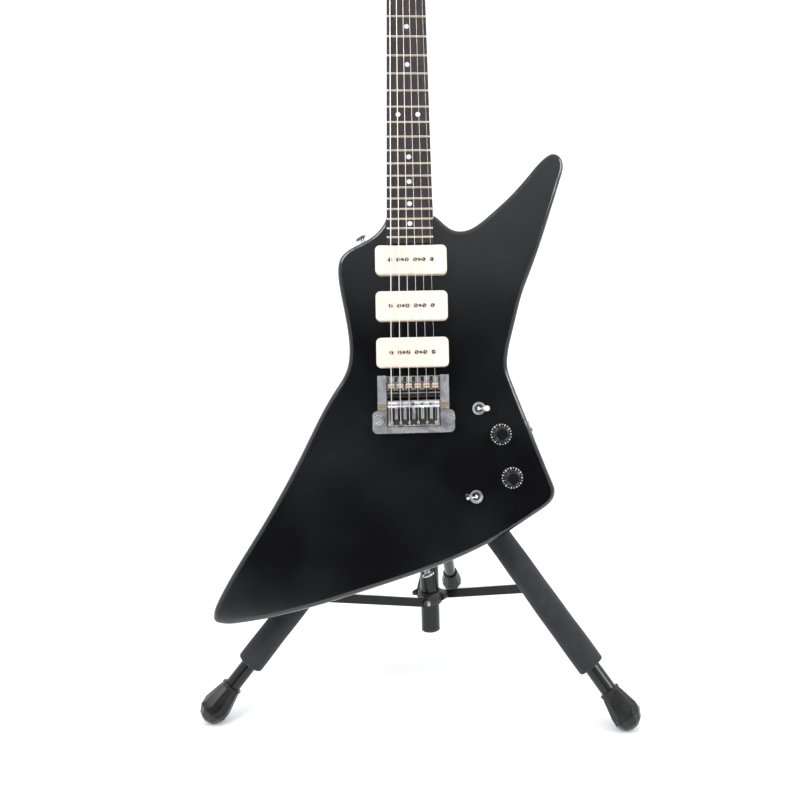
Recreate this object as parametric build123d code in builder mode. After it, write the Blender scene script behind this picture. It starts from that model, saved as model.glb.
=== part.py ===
from build123d import *
from math import atan2, cos, degrees, radians, sin
import os

# Electric guitar hanging on a folding tripod stand. Millimetres, +Z up, the guitar faces -Y.
# The floor is z = 0 and the box of the whole object is centred on x = y = 0.

os.makedirs("parts", exist_ok=True)

# ---- stand dimensions
SHAFT_X = 16.85
SHAFT_Y = -54.03
STAND_TURN = -7.0
TUBE_R = 12.5
TUBE_WALL = 1.5
TUBE_BOTTOM = 50.2
TUBE_TOP = 600.0
COLLAR_Z = 95.8
COLLAR_PIVOT_R = 14.0
HUB_Z = 288.2
HUB_PIVOT_R = 24.0
LEG_ANGLE = 43.0
LEG_LENGTH = 370.3
LEG_R = 9.5
LEG_WALL = 1.5
FOAM_R = 16.5
FOAM_START = 96.0
FOAM_END = LEG_LENGTH - 57.2
FOOT_R = 17.6
FOOT_RIM = 28.2
BRACE_ON_LEG = 211.1
BRACE_OFFSET = 18.5
BRACE_T = 3.0
BRACE_H = 11.0
SHAFT_TOP = 1030.0
UPPER_R = 9.5
LEGS = {"rear": 90.0, "left": 210.0, "right": 330.0}

# ---- guitar dimensions: local x to the right, y up the neck from the saddles, z out of the front
GUITAR_X = -11.4
GUITAR_Y = -124.4
GUITAR_Z = 389.2
GUITAR_TILT = 4.9
GUITAR_ROLL = -0.3
SCALE = 648.0
TOP = -12.5
BACK = -57.5
EDGE_R = 6.0
NUT_W = 43.0
BOARD_END = 174.5
BOARD_END_W = 56.4
BOARD_T = 6.0
HEAD_TILT = 10.0
HEAD_T = 14.0
PICKUP_Y = [155.0, 99.2, 43.4]
PICKUP_SIZE = (86.0, 36.0)
STRING_X = [-25.0, -14.7, -4.4, 5.9, 16.2, 26.5]
STRING_R = [0.58, 0.46, 0.33, 0.22, 0.17, 0.13]
SADDLE_Y = 3.8
SADDLE_TOP = 5.0
NUT_TOP = 1.7
POST_Y = [36.0, 78.0, 120.0]
POST_X = 18.0

OUTLINE = [
    (-28.5, 213.0), (-36.0, 198.0), (-47.4, 186.8), (-62.0, 178.5), (-76.5, 170.5), (-85.6, 161.0),
    (-88.8, 148.0), (-87.6, 128.0), (-82.5, 99.0), (-77.8, 70.8), (-76.2, 45.3), (-80.4, 22.5),
    (-91.0, 4.0), (-100.5, -10.8), (-128.0, -63.0), (-156.3, -116.4), (-188.5, -170.0),
    (-220.8, -222.4), (-230.2, -240.5), (-234.6, -254.0), (-233.2, -261.6), (-225.5, -265.2),
    (-201.0, -264.9), (-174.6, -261.7), (-149.0, -256.8), (-123.1, -251.2), (-58.0, -234.0),
    (7.5, -215.1), (46.0, -202.0), (82.7, -186.6), (108.0, -173.4), (131.5, -159.5),
    (151.0, -147.6), (160.6, -140.6), (166.2, -132.8), (167.4, -124.6), (164.6, -115.0),
    (149.0, -74.0), (133.0, -31.0), (119.4, 6.0), (114.9, 22.0), (115.6, 40.0), (124.0, 74.0),
    (135.4, 114.0), (147.0, 143.0), (158.4, 172.2), (170.4, 206.2), (180.2, 235.0),
    (188.3, 259.2), (191.4, 270.0), (191.2, 279.4), (186.6, 287.2), (179.0, 289.8), (168.6, 284.6),
    (146.0, 260.4), (121.6, 234.1), (98.5, 213.4), (80.4, 199.2), (70.8, 194.4), (61.0, 192.8),
    (50.6, 195.2), (42.0, 201.4), (34.5, 208.6), (28.5, 213.0),
]

# ---- frames
TILT = radians(GUITAR_TILT)
ROLL = radians(GUITAR_ROLL)
guitar = Plane(
    origin=(SHAFT_X + GUITAR_X, SHAFT_Y + GUITAR_Y, GUITAR_Z),
    x_dir=(cos(ROLL), sin(ROLL) * sin(TILT), sin(ROLL) * cos(TILT)),
    z_dir=(0, -cos(TILT), sin(TILT)),
)
HTILT = radians(GUITAR_TILT + HEAD_TILT)
head = Plane(
    origin=guitar.from_local_coords((0, SCALE + 4.0, -1.0)),
    x_dir=guitar.x_dir,
    z_dir=(0, -cos(HTILT), sin(HTILT)),
)
BASE = (Align.CENTER, Align.CENTER, Align.MIN)


def direction(azimuth):
    a = radians(azimuth + STAND_TURN)
    return Vector(cos(a), sin(a), 0)


def tangent(azimuth):
    a = radians(azimuth + STAND_TURN)
    return Vector(-sin(a), cos(a), 0)


def on_shaft(azimuth, radius, z):
    return Vector(SHAFT_X, SHAFT_Y, z) + direction(azimuth) * radius


def leg_plane(azimuth):
    g = radians(LEG_ANGLE)
    down = direction(azimuth) * sin(g) - Vector(0, 0, 1) * cos(g)
    return Plane(origin=on_shaft(azimuth, HUB_PIVOT_R, HUB_Z), x_dir=tangent(azimuth), z_dir=down)


def side_plane(azimuth, radius, z, offset=0.0):
    # local x outwards, local y up, local z along the tangent
    o = on_shaft(azimuth, radius, z) + tangent(azimuth) * -offset
    return Plane(origin=o, x_dir=direction(azimuth), z_dir=-tangent(azimuth))


def brace_plane(azimuth):
    # beside the leg: local x outwards, local y down, local z along the tangent, away from the leg
    o = on_shaft(azimuth, COLLAR_PIVOT_R, COLLAR_Z) + tangent(azimuth) * BRACE_OFFSET
    return Plane(origin=o, x_dir=direction(azimuth), z_dir=tangent(azimuth))


def save(builder, label):
    builder.part.label = label
    export_step(builder.part, "parts/" + label + ".step")


def g(x, y, z):
    return guitar.from_local_coords(Vector(x, y, z))


# ---- centre tube with its plug and the fixed lower collar
with BuildPart(Plane(origin=(SHAFT_X, SHAFT_Y, 0))) as centre_tube:
    with Locations((0, 0, TUBE_BOTTOM + 3.0)):
        Cylinder(TUBE_R, TUBE_TOP - TUBE_BOTTOM - 3.0, align=BASE)
        Cylinder(TUBE_R - TUBE_WALL, TUBE_TOP - TUBE_BOTTOM - 3.0, align=BASE, mode=Mode.SUBTRACT)
save(centre_tube, "centre_tube")

with BuildPart(Plane(origin=(SHAFT_X, SHAFT_Y, 0))) as tube_plug:
    with Locations((0, 0, TUBE_BOTTOM)):
        Cylinder(TUBE_R, 3.0, align=BASE)
    with Locations((0, 0, TUBE_BOTTOM + 3.0)):
        Cylinder(TUBE_R - TUBE_WALL, 14.0, align=BASE)
    fillet(tube_plug.edges().group_by(Axis.Z)[0], 1.2)
save(tube_plug, "tube_plug")

with BuildPart(Plane(origin=(SHAFT_X, SHAFT_Y, 0))) as lower_collar:
    with Locations((0, 0, COLLAR_Z - 8.0)):
        Cylinder(16.4, 16.0, align=BASE)
    chamfer(lower_collar.edges(), 1.0)
    for name, azimuth in LEGS.items():
        ear = brace_plane(azimuth)
        with BuildSketch(ear.offset(-BRACE_T / 2 - 0.4)):
            Circle(5.6)
            with Locations((-4.0, 0)):
                Rectangle(8.0, 11.2)
        extrude(amount=-11.0)
        with BuildSketch(ear.offset(-BRACE_T / 2 - 3.0)):
            Circle(2.4)
        extrude(amount=BRACE_T + 4.6)
        with BuildSketch(ear.offset(BRACE_T / 2 + 0.4)):
            Circle(4.2)
        extrude(amount=1.8)
    with Locations((0, 0, COLLAR_Z - 20.0)):
        Cylinder(TUBE_R, 40.0, align=BASE, mode=Mode.SUBTRACT)
save(lower_collar, "lower_collar")

# ---- sliding hub with its leg pivots and lock knob
with BuildPart(Plane(origin=(SHAFT_X, SHAFT_Y, 0))) as hub:
    with Locations((0, 0, HUB_Z - 9.0)):
        Cylinder(15.6, 34.0, align=BASE)
    fillet(hub.edges(), 1.0)
    for name, azimuth in LEGS.items():
        for side in (-1, 1):
            face = side_plane(azimuth, HUB_PIVOT_R, HUB_Z, side * 6.8)
            with BuildSketch(face):
                Circle(9.6)
                with Locations((-6.0, 2.5)):
                    Rectangle(10.0, 14.2)
            extrude(amount=2.5, both=True)
        with BuildSketch(side_plane(azimuth, HUB_PIVOT_R, HUB_Z)):
            Circle(2.5)
        extrude(amount=9.0, both=True)
        with BuildSketch(side_plane(azimuth, HUB_PIVOT_R, HUB_Z, 9.3)):
            Circle(4.4)
        extrude(amount=1.6)
        with BuildSketch(side_plane(azimuth, HUB_PIVOT_R, HUB_Z, -9.3)):
            Circle(4.4)
        extrude(amount=-1.6)
    boss = Plane(origin=on_shaft(150.0, 13.0, HUB_Z + 13.0), z_dir=direction(150.0))
    with BuildSketch(boss):
        Circle(8.0)
    extrude(amount=10.0)
    with BuildSketch(boss.offset(4.0)):
        Circle(3.0)
    extrude(amount=24.0)
    with Locations((0, 0, HUB_Z - 20.0)):
        Cylinder(TUBE_R + 0.08, 80.0, align=BASE, mode=Mode.SUBTRACT)
save(hub, "hub")

with BuildPart() as hub_knob:
    knob_plane = Plane(origin=on_shaft(150.0, 23.5, HUB_Z + 13.0), z_dir=direction(150.0))
    with BuildSketch(knob_plane):
        Circle(13.0)
        with PolarLocations(11.5, 5):
            Circle(5.5)
    extrude(amount=12.0)
    with BuildSketch(knob_plane.offset(-1.0)):
        Circle(3.06)
    extrude(amount=15.0, mode=Mode.SUBTRACT)
    fillet(hub_knob.edges().filter_by(GeomType.CIRCLE).group_by(SortBy.RADIUS)[-1], 1.0)
save(hub_knob, "hub_knob")

# ---- legs: tang and tube, foam sleeve on the two front legs, rubber foot
for name, azimuth in LEGS.items():
    frame = leg_plane(azimuth)
    with BuildPart(frame) as leg_tube:
        with BuildSketch(side_plane(azimuth, HUB_PIVOT_R, HUB_Z)):
            Circle(7.4)
        extrude(amount=3.9, both=True)
        with Locations((0, 0, 0)):
            Box(7.8, 14.0, 13.0, align=BASE)
        with Locations((0, 0, 11.8)):
            Cylinder(LEG_R, 6.0, align=BASE)
        with Locations((0, 0, 17.0)):
            Cylinder(LEG_R, LEG_LENGTH - 22.0, align=BASE)
        with Locations((0, 0, 24.0)):
            Cylinder(LEG_R - LEG_WALL, LEG_LENGTH, align=BASE, mode=Mode.SUBTRACT)
        with BuildSketch(side_plane(azimuth, HUB_PIVOT_R, HUB_Z, 20.0)):
            Circle(2.56)
        extrude(amount=40.0, both=True, mode=Mode.SUBTRACT)
    save(leg_tube, "leg_tube_" + name)

    with BuildPart(frame) as foot:
        with BuildSketch(Plane(origin=frame.origin, x_dir=frame.x_dir, z_dir=frame.y_dir * -1)):
            with BuildLine():
                a = (0.0, LEG_LENGTH + FOOT_R)
                b = (FOOT_R * sin(radians(100)), LEG_LENGTH + FOOT_R * cos(radians(100)))
                m = (FOOT_R * sin(radians(50)), LEG_LENGTH + FOOT_R * cos(radians(50)))
                ThreePointArc(a, m, b)
                Polyline(b, (14.6, LEG_LENGTH - FOOT_RIM + 2.0), (12.8, LEG_LENGTH - FOOT_RIM),
                         (0.0, LEG_LENGTH - FOOT_RIM), a)
            make_face()
        revolve(axis=Axis(frame.origin, frame.z_dir))
        with Locations((0, 0, LEG_LENGTH - FOOT_RIM - 10.0)):
            Cylinder(LEG_R, FOOT_RIM + 5.0, align=BASE, mode=Mode.SUBTRACT)
        with BuildSketch(Plane.XY):
            with Locations((SHAFT_X, SHAFT_Y)):
                Circle(500)
        extrude(amount=-60, mode=Mode.SUBTRACT)
    save(foot, "foot_" + name)

    if name != "rear":
        with BuildPart(frame) as foam:
            with Locations((0, 0, FOAM_START)):
                Cylinder(FOAM_R, FOAM_END - FOAM_START, align=BASE)
            fillet(foam.edges(), 3.0)
            with Locations((0, 0, FOAM_START - 5.0)):
                Cylinder(LEG_R, FOAM_END - FOAM_START + 10.0, align=BASE, mode=Mode.SUBTRACT)
        save(foam, "foam_" + name)

    # brace: a flat bar beside the leg, from the collar pin to a riveted end
    g_ = radians(LEG_ANGLE)
    rise = HUB_Z - BRACE_ON_LEG * cos(g_) - COLLAR_Z
    run = HUB_PIVOT_R + BRACE_ON_LEG * sin(g_) - COLLAR_PIVOT_R
    bar = brace_plane(azimuth)
    with BuildPart() as brace:
        with BuildSketch(bar.offset(-BRACE_T / 2)):
            with Locations((run / 2, -rise / 2)):
                SlotCenterToCenter((run ** 2 + rise ** 2) ** 0.5, BRACE_H,
                                   rotation=-degrees(atan2(rise, run)))
            Circle(2.46, mode=Mode.SUBTRACT)
        extrude(amount=BRACE_T)
        with BuildSketch(bar.offset(BRACE_T / 2)):
            with Locations((run, -rise)):
                Circle(4.2)
        extrude(amount=1.8)
        inner = 0.2 if name != "rear" else BRACE_OFFSET - BRACE_T / 2 - LEG_R - 0.3
        with BuildSketch(bar.offset(-BRACE_T / 2)):
            with Locations((run, -rise)):
                Circle(4.2)
        extrude(amount=-inner)
    save(brace, "brace_" + name)

# ---- height clutch, trigger, upper shaft and yoke
with BuildPart(Plane(origin=(SHAFT_X, SHAFT_Y, 0))) as clutch:
    with Locations((0, 0, TUBE_TOP - 34.0)):
        Cylinder(17.0, 34.0, align=BASE)
    with Locations((0, 0, TUBE_TOP)):
        Cone(17.0, 13.5, 26.0, align=BASE)
    fillet(clutch.edges().group_by(Axis.Z)[0], 2.0)
    lugs = side_plane(90.0, 19.0, TUBE_TOP + 4.0)
    for side in (-1, 1):
        with BuildSketch(lugs.offset(side * 8.5)):
            with Locations((-2.0, 0)):
                SlotOverall(18.0, 10.0)
        extrude(amount=1.5, both=True)
    with BuildSketch(lugs):
        with Locations((3.0, 0)):
            Circle(2.0)
    extrude(amount=9.0, both=True)
    with Locations((0, 0, TUBE_TOP - 40.0)):
        Cylinder(TUBE_R, 40.0, align=BASE, mode=Mode.SUBTRACT)
    with Locations((0, 0, TUBE_TOP - 1.0)):
        Cylinder(UPPER_R + 0.08, 40.0, align=BASE, mode=Mode.SUBTRACT)
save(clutch, "clutch")

with BuildPart() as clutch_trigger:
    with BuildSketch(side_plane(90.0, 22.0, TUBE_TOP + 4.0)):
        with BuildLine():
            Polyline((-3.2, 3.6), (4.6, 3.6), (6.6, -4.0), (4.4, -22.0), (9.5, -46.0), (5.4, -47.0),
                     (0.6, -22.0), (0.6, -5.0), (-3.2, -3.6), (-3.2, 3.6))
        make_face()
    extrude(amount=6.6, both=True)
    fillet(clutch_trigger.edges().filter_by(GeomType.LINE).group_by(Axis.Z)[0], 1.0)
    with BuildSketch(side_plane(90.0, 22.0, TUBE_TOP + 4.0)):
        Circle(2.06)
    extrude(amount=8.0, both=True, mode=Mode.SUBTRACT)
save(clutch_trigger, "clutch_trigger")

with BuildPart(Plane(origin=(SHAFT_X, SHAFT_Y, 0))) as upper_shaft:
    with Locations((0, 0, 400.0)):
        Cylinder(UPPER_R, SHAFT_TOP - 400.0, align=BASE)
        Cylinder(UPPER_R - 1.5, SHAFT_TOP - 400.0, align=BASE, mode=Mode.SUBTRACT)
save(upper_shaft, "upper_shaft")

YOKE_Y = SCALE - 1.0
YOKE_X = 32.0
bar_c = g(0, YOKE_Y, -43.0)
with BuildPart() as yoke:
    with Locations(Location((SHAFT_X, SHAFT_Y, SHAFT_TOP - 28.0))):
        Cylinder(13.5, 38.0, align=BASE)
    fillet(yoke.edges(), 2.0)
    reach = bar_c - Vector(SHAFT_X, SHAFT_Y, bar_c.Z)
    start = Vector(SHAFT_X, SHAFT_Y, bar_c.Z)
    with BuildSketch(Plane(origin=start, x_dir=(0, 0, 1), z_dir=reach)):
        RectangleRounded(20.0, 18.0, 4.0)
    extrude(amount=reach.length)
    with BuildSketch(Plane(origin=g(0, YOKE_Y, -43.0), x_dir=guitar.x_dir, z_dir=guitar.z_dir)):
        RectangleRounded(2 * YOKE_X + 14.0, 16.0, 6.0)
    extrude(amount=5.0, both=True)
    for side in (-1, 1):
        with BuildSketch(Plane(origin=g(side * YOKE_X, YOKE_Y, -43.0), z_dir=guitar.z_dir)):
            Circle(5.0)
        extrude(amount=54.0)
    with Locations(Location((SHAFT_X, SHAFT_Y, SHAFT_TOP - 60.0))):
        Cylinder(UPPER_R, 60.0, align=BASE, mode=Mode.SUBTRACT)
save(yoke, "yoke")

with BuildPart() as yoke_pads:
    for side in (-1, 1):
        with BuildSketch(Plane(origin=g(side * YOKE_X, YOKE_Y, -37.5), z_dir=guitar.z_dir)):
            Circle(9.2)
            Circle(5.0, mode=Mode.SUBTRACT)
        extrude(amount=44.0)
    fillet(yoke_pads.edges().filter_by(GeomType.CIRCLE).group_by(SortBy.RADIUS)[-1], 2.0)
save(yoke_pads, "yoke_pads")

STRAP_PINS = (
    (g(-57.5, 180.4, -34.5), guitar.x_dir * -0.49 + guitar.y_dir * 0.872),
    (g(10.0, -213.4, -34.5), guitar.x_dir * 0.3 + guitar.y_dir * -0.954),
)

# ---- guitar body with its rounded edge, neck pocket, cavities and holes
with BuildPart(guitar) as body:
    with BuildSketch(guitar.offset(BACK)):
        with BuildLine():
            Spline(*OUTLINE)
            Line(OUTLINE[-1], OUTLINE[0])
        make_face()
    extrude(amount=TOP - BACK)
    ends = body.faces().sort_by(Axis(guitar.origin, guitar.z_dir))
    fillet(ends[0].edges() + ends[-1].edges(), EDGE_R)
    with BuildSketch(guitar.offset(TOP)):
        with Locations((0, (BOARD_END + 230.0) / 2)):
            Rectangle(BOARD_END_W + 0.4, 230.0 - BOARD_END)
    extrude(amount=-17.5, mode=Mode.SUBTRACT)
    with BuildSketch(guitar.offset(BACK)):
        with Locations((92.0, -72.0)):
            RectangleRounded(74.0, 112.0, 14.0, rotation=14)
    extrude(amount=2.0, mode=Mode.SUBTRACT)
    with BuildSketch(guitar.offset(BACK)):
        with Locations((92.0, -72.0)):
            RectangleRounded(64.0, 102.0, 10.0, rotation=14)
    extrude(amount=34.0, mode=Mode.SUBTRACT)
    with BuildSketch(guitar.offset(TOP)):
        with Locations((-40.2, -36.0), (42.8, -36.0)):
            Circle(5.0)
    extrude(amount=-20.0, mode=Mode.SUBTRACT)
    with BuildSketch(guitar.offset(TOP)):
        with Locations((103.9, -56.6), (115.8, -108.4)):
            Circle(4.0)
        with Locations((78.1, -25.2), (72.3, -129.3)):
            Circle(5.6)
    extrude(amount=-20.0, mode=Mode.SUBTRACT)
    for p, d in STRAP_PINS:
        with BuildSketch(Plane(origin=p, z_dir=d)):
            Circle(7.0)
        extrude(amount=12.0, mode=Mode.SUBTRACT)
    jack_side = Plane(origin=g(141.0, -52.5, -34.5), z_dir=guitar.x_dir * 0.936 + guitar.y_dir * 0.351)
    with BuildSketch(jack_side.offset(12.0)):
        Circle(10.0)
    extrude(amount=-30.0, mode=Mode.SUBTRACT)
save(body, "body")

with BuildPart(guitar) as control_cover:
    with BuildSketch(guitar.offset(BACK)):
        with Locations((92.0, -72.0)):
            RectangleRounded(73.6, 111.6, 13.8, rotation=14)
    extrude(amount=2.0)
save(control_cover, "control_cover")

with BuildPart(guitar) as neck_plate:
    with BuildSketch(guitar.offset(BACK)):
        with Locations((0, 194.0)):
            RectangleRounded(50.0, 32.0, 4.0)
    extrude(amount=-2.0)
    with BuildSketch(guitar.offset(BACK - 2.0)):
        with Locations((0, 194.0)):
            with GridLocations(38.0, 20.0, 2, 2):
                Circle(4.2)
    extrude(amount=-1.2)
save(neck_plate, "neck_plate")

# ---- neck with heel and headstock
def neck_section(y, width, depth):
    return Plane(origin=g(0, y, -BOARD_T), x_dir=guitar.x_dir, z_dir=guitar.y_dir), width, depth


HEAD_OUTLINE = [
    (-21.5, 1.8), (-22.5, 3.0), (-31.0, 9.0), (-39.5, 22.0), (-40.0, 40.0), (-37.5, 100.0),
    (-33.0, 146.0), (-24.0, 160.0), (-10.0, 160.0), (0.0, 153.0),
]
with BuildPart(guitar) as neck:
    for y, w, d in ((SCALE + 5.0, NUT_W, 15.0), (238.0, 54.5, 17.5)):
        with BuildSketch(Plane(origin=g(0, y, -BOARD_T), x_dir=guitar.x_dir, z_dir=guitar.y_dir)):
            with BuildLine():
                EllipticalCenterArc((0, 0), w / 2, d, start_angle=0, arc_size=180)
                Line((-w / 2, 0), (w / 2, 0))
            make_face()
    loft()
    with BuildSketch(guitar.offset(-BOARD_T)):
        with Locations((0, (BOARD_END + 246.0) / 2)):
            Rectangle(BOARD_END_W - 0.4, 246.0 - BOARD_END)
    extrude(amount=-24.0)
    with BuildSketch(head.offset(-HEAD_T)):
        with BuildLine():
            Polyline(*HEAD_OUTLINE, *[(-x, y) for x, y in reversed(HEAD_OUTLINE[:-1])], HEAD_OUTLINE[0])
        make_face()
    extrude(amount=HEAD_T - 1.0)
    with BuildSketch(Plane(origin=g(0, SCALE - 22.0, -BOARD_T), x_dir=guitar.x_dir, z_dir=guitar.y_dir)):
        with BuildLine():
            EllipticalCenterArc((0, 0), NUT_W / 2, 18.5, start_angle=0, arc_size=180)
            Line((-NUT_W / 2, 0), (NUT_W / 2, 0))
        make_face()
    extrude(amount=34.0)
save(neck, "neck")

half_end = BOARD_END_W / 2
with BuildPart(guitar) as fingerboard:
    with BuildSketch(guitar.offset(-BOARD_T)):
        with BuildLine():
            Polyline((-half_end, BOARD_END), (half_end, BOARD_END), (NUT_W / 2, SCALE),
                     (-NUT_W / 2, SCALE), (-half_end, BOARD_END))
        make_face()
    extrude(amount=BOARD_T)


def fret_y(n):
    return SCALE / 2 ** (n / 12)


def board_w(y):
    return NUT_W + (BOARD_END_W - NUT_W) * (SCALE - y) / (SCALE - BOARD_END)


DOTS = [(0.0, (fret_y(n) + fret_y(n - 1)) / 2) for n in (3, 5, 7, 9, 15, 17, 19, 21)]
DOTS += [(side * 12.0, (fret_y(12) + fret_y(11)) / 2) for side in (-1, 1)]
with fingerboard:
    with BuildSketch(guitar):
        with Locations(*DOTS):
            Circle(3.0)
    extrude(amount=-1.5, mode=Mode.SUBTRACT)
save(fingerboard, "fingerboard")

with BuildPart(guitar) as inlays:
    with BuildSketch(guitar.offset(-1.5)):
        with Locations(*DOTS):
            Circle(3.0)
    extrude(amount=1.5)
save(inlays, "inlays")

with BuildPart(guitar) as frets:
    for n in range(1, 23):
        with Locations((0, fret_y(n), 0)):
            Box(board_w(fret_y(n)) - 0.6, 2.2, 1.0, align=BASE)
    chamfer(frets.edges().filter_by(Axis(guitar.origin, guitar.x_dir)).group_by(
        Axis(guitar.origin, guitar.z_dir))[-1], 0.45)
save(frets, "frets")

with BuildPart(guitar) as nut:
    with Locations((0, SCALE + 2.4, -BOARD_T)):
        Box(NUT_W, 4.8, BOARD_T + NUT_TOP, align=BASE)
    for i, x in enumerate(STRING_X):
        with Locations((-17.5 + 7.0 * i, SCALE + 2.4, NUT_TOP - 1.0)):
            Box(2 * STRING_R[i] + 0.6, 6.0, 2.0, align=BASE, mode=Mode.SUBTRACT)
save(nut, "nut")

with BuildPart(head) as truss_cover:
    with BuildSketch(head.offset(-1.0)):
        with Locations((0, 14.0)):
            RectangleRounded(14.0, 20.0, 5.0)
    extrude(amount=1.6)
save(truss_cover, "truss_cover")

# ---- tuners
with BuildPart(head) as tuner_housings:
    for side in (-1, 1):
        for y in POST_Y:
            with Locations((side * 24.0, y, -HEAD_T - 10.0)):
                Box(19.0, 16.0, 10.0, align=BASE)
            with BuildSketch(Plane(origin=head.from_local_coords((side * 33.0, y, -HEAD_T - 5.2)),
                                   z_dir=head.x_dir * side)):
                Circle(3.4)
            extrude(amount=10.0)
save(tuner_housings, "tuner_housings")

with BuildPart(head) as tuner_posts:
    for side in (-1, 1):
        for y in POST_Y:
            with Locations((side * POST_X, y, -1.0)):
                Cylinder(5.4, 2.4, align=BASE)
            with Locations((side * POST_X, y, 0.0)):
                Cylinder(3.0, 15.0, align=BASE)
save(tuner_posts, "tuner_posts")

for side, tag in ((-1, "left"), (1, "right")):
    for k, y in enumerate(POST_Y):
        axis_plane = Plane(origin=head.from_local_coords((side * 43.4, y, -HEAD_T - 5.2)),
                           x_dir=head.y_dir, z_dir=head.x_dir * side)
        with BuildPart(axis_plane) as tuner_button:
            Cylinder(3.2, 4.0, align=BASE)
            with BuildSketch(axis_plane.offset(3.5)):
                SlotOverall(19.0, 9.0)
            extrude(amount=14.0)
            fillet(tuner_button.edges().filter_by(GeomType.LINE, reverse=True).group_by(
                Axis(axis_plane.origin, axis_plane.z_dir))[-1], 2.0)
        save(tuner_button, "tuner_button_" + tag + "_" + str(k + 1))

# ---- three soapbar pickups and their screws
for k, y in enumerate(PICKUP_Y):
    with BuildPart(guitar) as pickup:
        with BuildSketch(guitar.offset(TOP)):
            with Locations((0.4, y)):
                RectangleRounded(*PICKUP_SIZE, 6.0)
        extrude(amount=11.0)
        fillet(pickup.faces().sort_by(Axis(guitar.origin, guitar.z_dir))[-1].edges(), 2.0)
    save(pickup, "pickup_" + str(k + 1))

with BuildPart(guitar) as pole_screws:
    for y in PICKUP_Y:
        for i in range(6):
            with Locations((0.4 + (i - 2.5) * 10.0, y, TOP + 11.0)):
                Cylinder(2.4, 0.7, align=BASE)
        for x in (-9.6, 10.4):
            with Locations((x, y, TOP + 11.0)):
                Cylinder(1.7, 0.5, align=BASE)
save(pole_screws, "pole_screws")

# ---- vibrato bridge: base on two studs, roller saddles, tilting string bar
with BuildPart(guitar) as bridge_base:
    with BuildSketch(guitar.offset(-8.5)):
        with Locations((0.7, -8.0)):
            RectangleRounded(83.6, 46.0, 3.0)
        with Locations((0.4, -38.5)):
            RectangleRounded(97.0, 27.0, 6.0)
        with Locations((-40.2, -36.0), (42.8, -36.0)):
            Circle(6.9, mode=Mode.SUBTRACT)
        with Locations((0.6, -25.0)):
            Rectangle(62.8, 39.0, mode=Mode.SUBTRACT)
    extrude(amount=4.0)
    for x in (-36.0, 37.4):
        with Locations((x, -3.8, -5.0)):
            Box(10.2, 39.6, 9.0, align=BASE)
    with Locations((0.7, 11.5, -5.0)):
        Box(63.4, 7.4, 6.5, align=BASE)
    with Locations((0.7, -1.6, -8.5)):
        Box(63.4, 16.0, 4.2, align=BASE)
save(bridge_base, "bridge_base")

with BuildPart(guitar) as bridge_studs:
    with Locations((-40.2, -36.0, TOP - 18.0), (42.8, -36.0, TOP - 18.0)):
        Cylinder(5.0, 18.0, align=BASE)
    with Locations((-40.2, -36.0, TOP), (42.8, -36.0, TOP)):
        Cylinder(6.4, 13.0, align=BASE)
    with Locations((-40.2, -36.0, TOP + 10.8), (42.8, -36.0, TOP + 10.8)):
        Box(13.6, 1.8, 3.0, align=BASE, mode=Mode.SUBTRACT)
save(bridge_studs, "bridge_studs")

with BuildPart(guitar) as saddles:
    for i, x in enumerate(STRING_X):
        with Locations((x, SADDLE_Y - 1.6, -4.3)):
            Box(8.4, 7.2, 5.0, align=BASE)
        with BuildSketch(Plane(origin=g(x, SADDLE_Y, 1.2), z_dir=guitar.x_dir)):
            Circle(SADDLE_TOP - 1.4 - STRING_R[i])
        extrude(amount=3.4, both=True)
save(saddles, "saddles")

with BuildPart(guitar) as string_bar:
    with BuildSketch(Plane(origin=g(0.6, -18.0, -3.8), z_dir=guitar.x_dir)):
        Circle(4.8)
    extrude(amount=30.6, both=True)
    for i in range(1, 6):
        with Locations((STRING_X[0] + (i - 0.5) * 10.3, -32.0, -5.2)):
            Box(6.6, 21.0, 4.4, align=BASE)
    for x in (-27.9, 29.3):
        with Locations((x, -32.0, -5.2)):
            Box(3.4, 21.0, 4.4, align=BASE)
    with Locations((0.6, -42.0, -7.6)):
        Box(61.0, 3.0, 4.0, align=BASE)
save(string_bar, "string_bar")

# ---- strings: tail, saddle to nut, nut to post
def rod(p, q, r):
    with Locations(Plane(origin=p, z_dir=q - p)):
        Cylinder(r, (q - p).length, align=BASE)


with BuildPart() as strings:
    for i, x in enumerate(STRING_X):
        r = STRING_R[i]
        nx = -17.5 + 7.0 * i
        side = -1 if i < 3 else 1
        py = POST_Y[i] if i < 3 else POST_Y[5 - i]
        tail = g(x, -37.5, -0.5)
        crown = g(x, SADDLE_Y, SADDLE_TOP)
        slot = g(nx, SCALE + 2.4, NUT_TOP + r - 0.6)
        post = head.from_local_coords(Vector(side * (POST_X - 3.3 - r), py, 5.0))
        rod(tail, crown, r)
        rod(crown, slot, r)
        rod(slot, post, r)
        with Locations(crown, slot):
            Sphere(r * 1.02)
save(strings, "strings")

# ---- controls
with BuildPart(guitar) as pot_shafts:
    with Locations((103.9, -56.6, TOP - 18.0), (115.8, -108.4, TOP - 18.0)):
        Cylinder(4.0, 18.0, align=BASE)
        Cylinder(3.0, 28.0, align=BASE)
save(pot_shafts, "pot_shafts")

for tag, x, y in (("upper", 103.9, -56.6), ("lower", 115.8, -108.4)):
    with BuildPart(guitar) as knob:
        with Locations((x, y, TOP + 0.4)):
            Cylinder(13.0, 2.2, align=BASE)
            Cone(10.6, 8.6, 15.0, align=BASE)
        fillet(knob.faces().sort_by(Axis(guitar.origin, guitar.z_dir))[-1].edges(), 1.0)
        with Locations((x, y, TOP - 1.0)):
            Cylinder(3.06, 12.4, align=BASE, mode=Mode.SUBTRACT)
    save(knob, "knob_" + tag)

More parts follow.
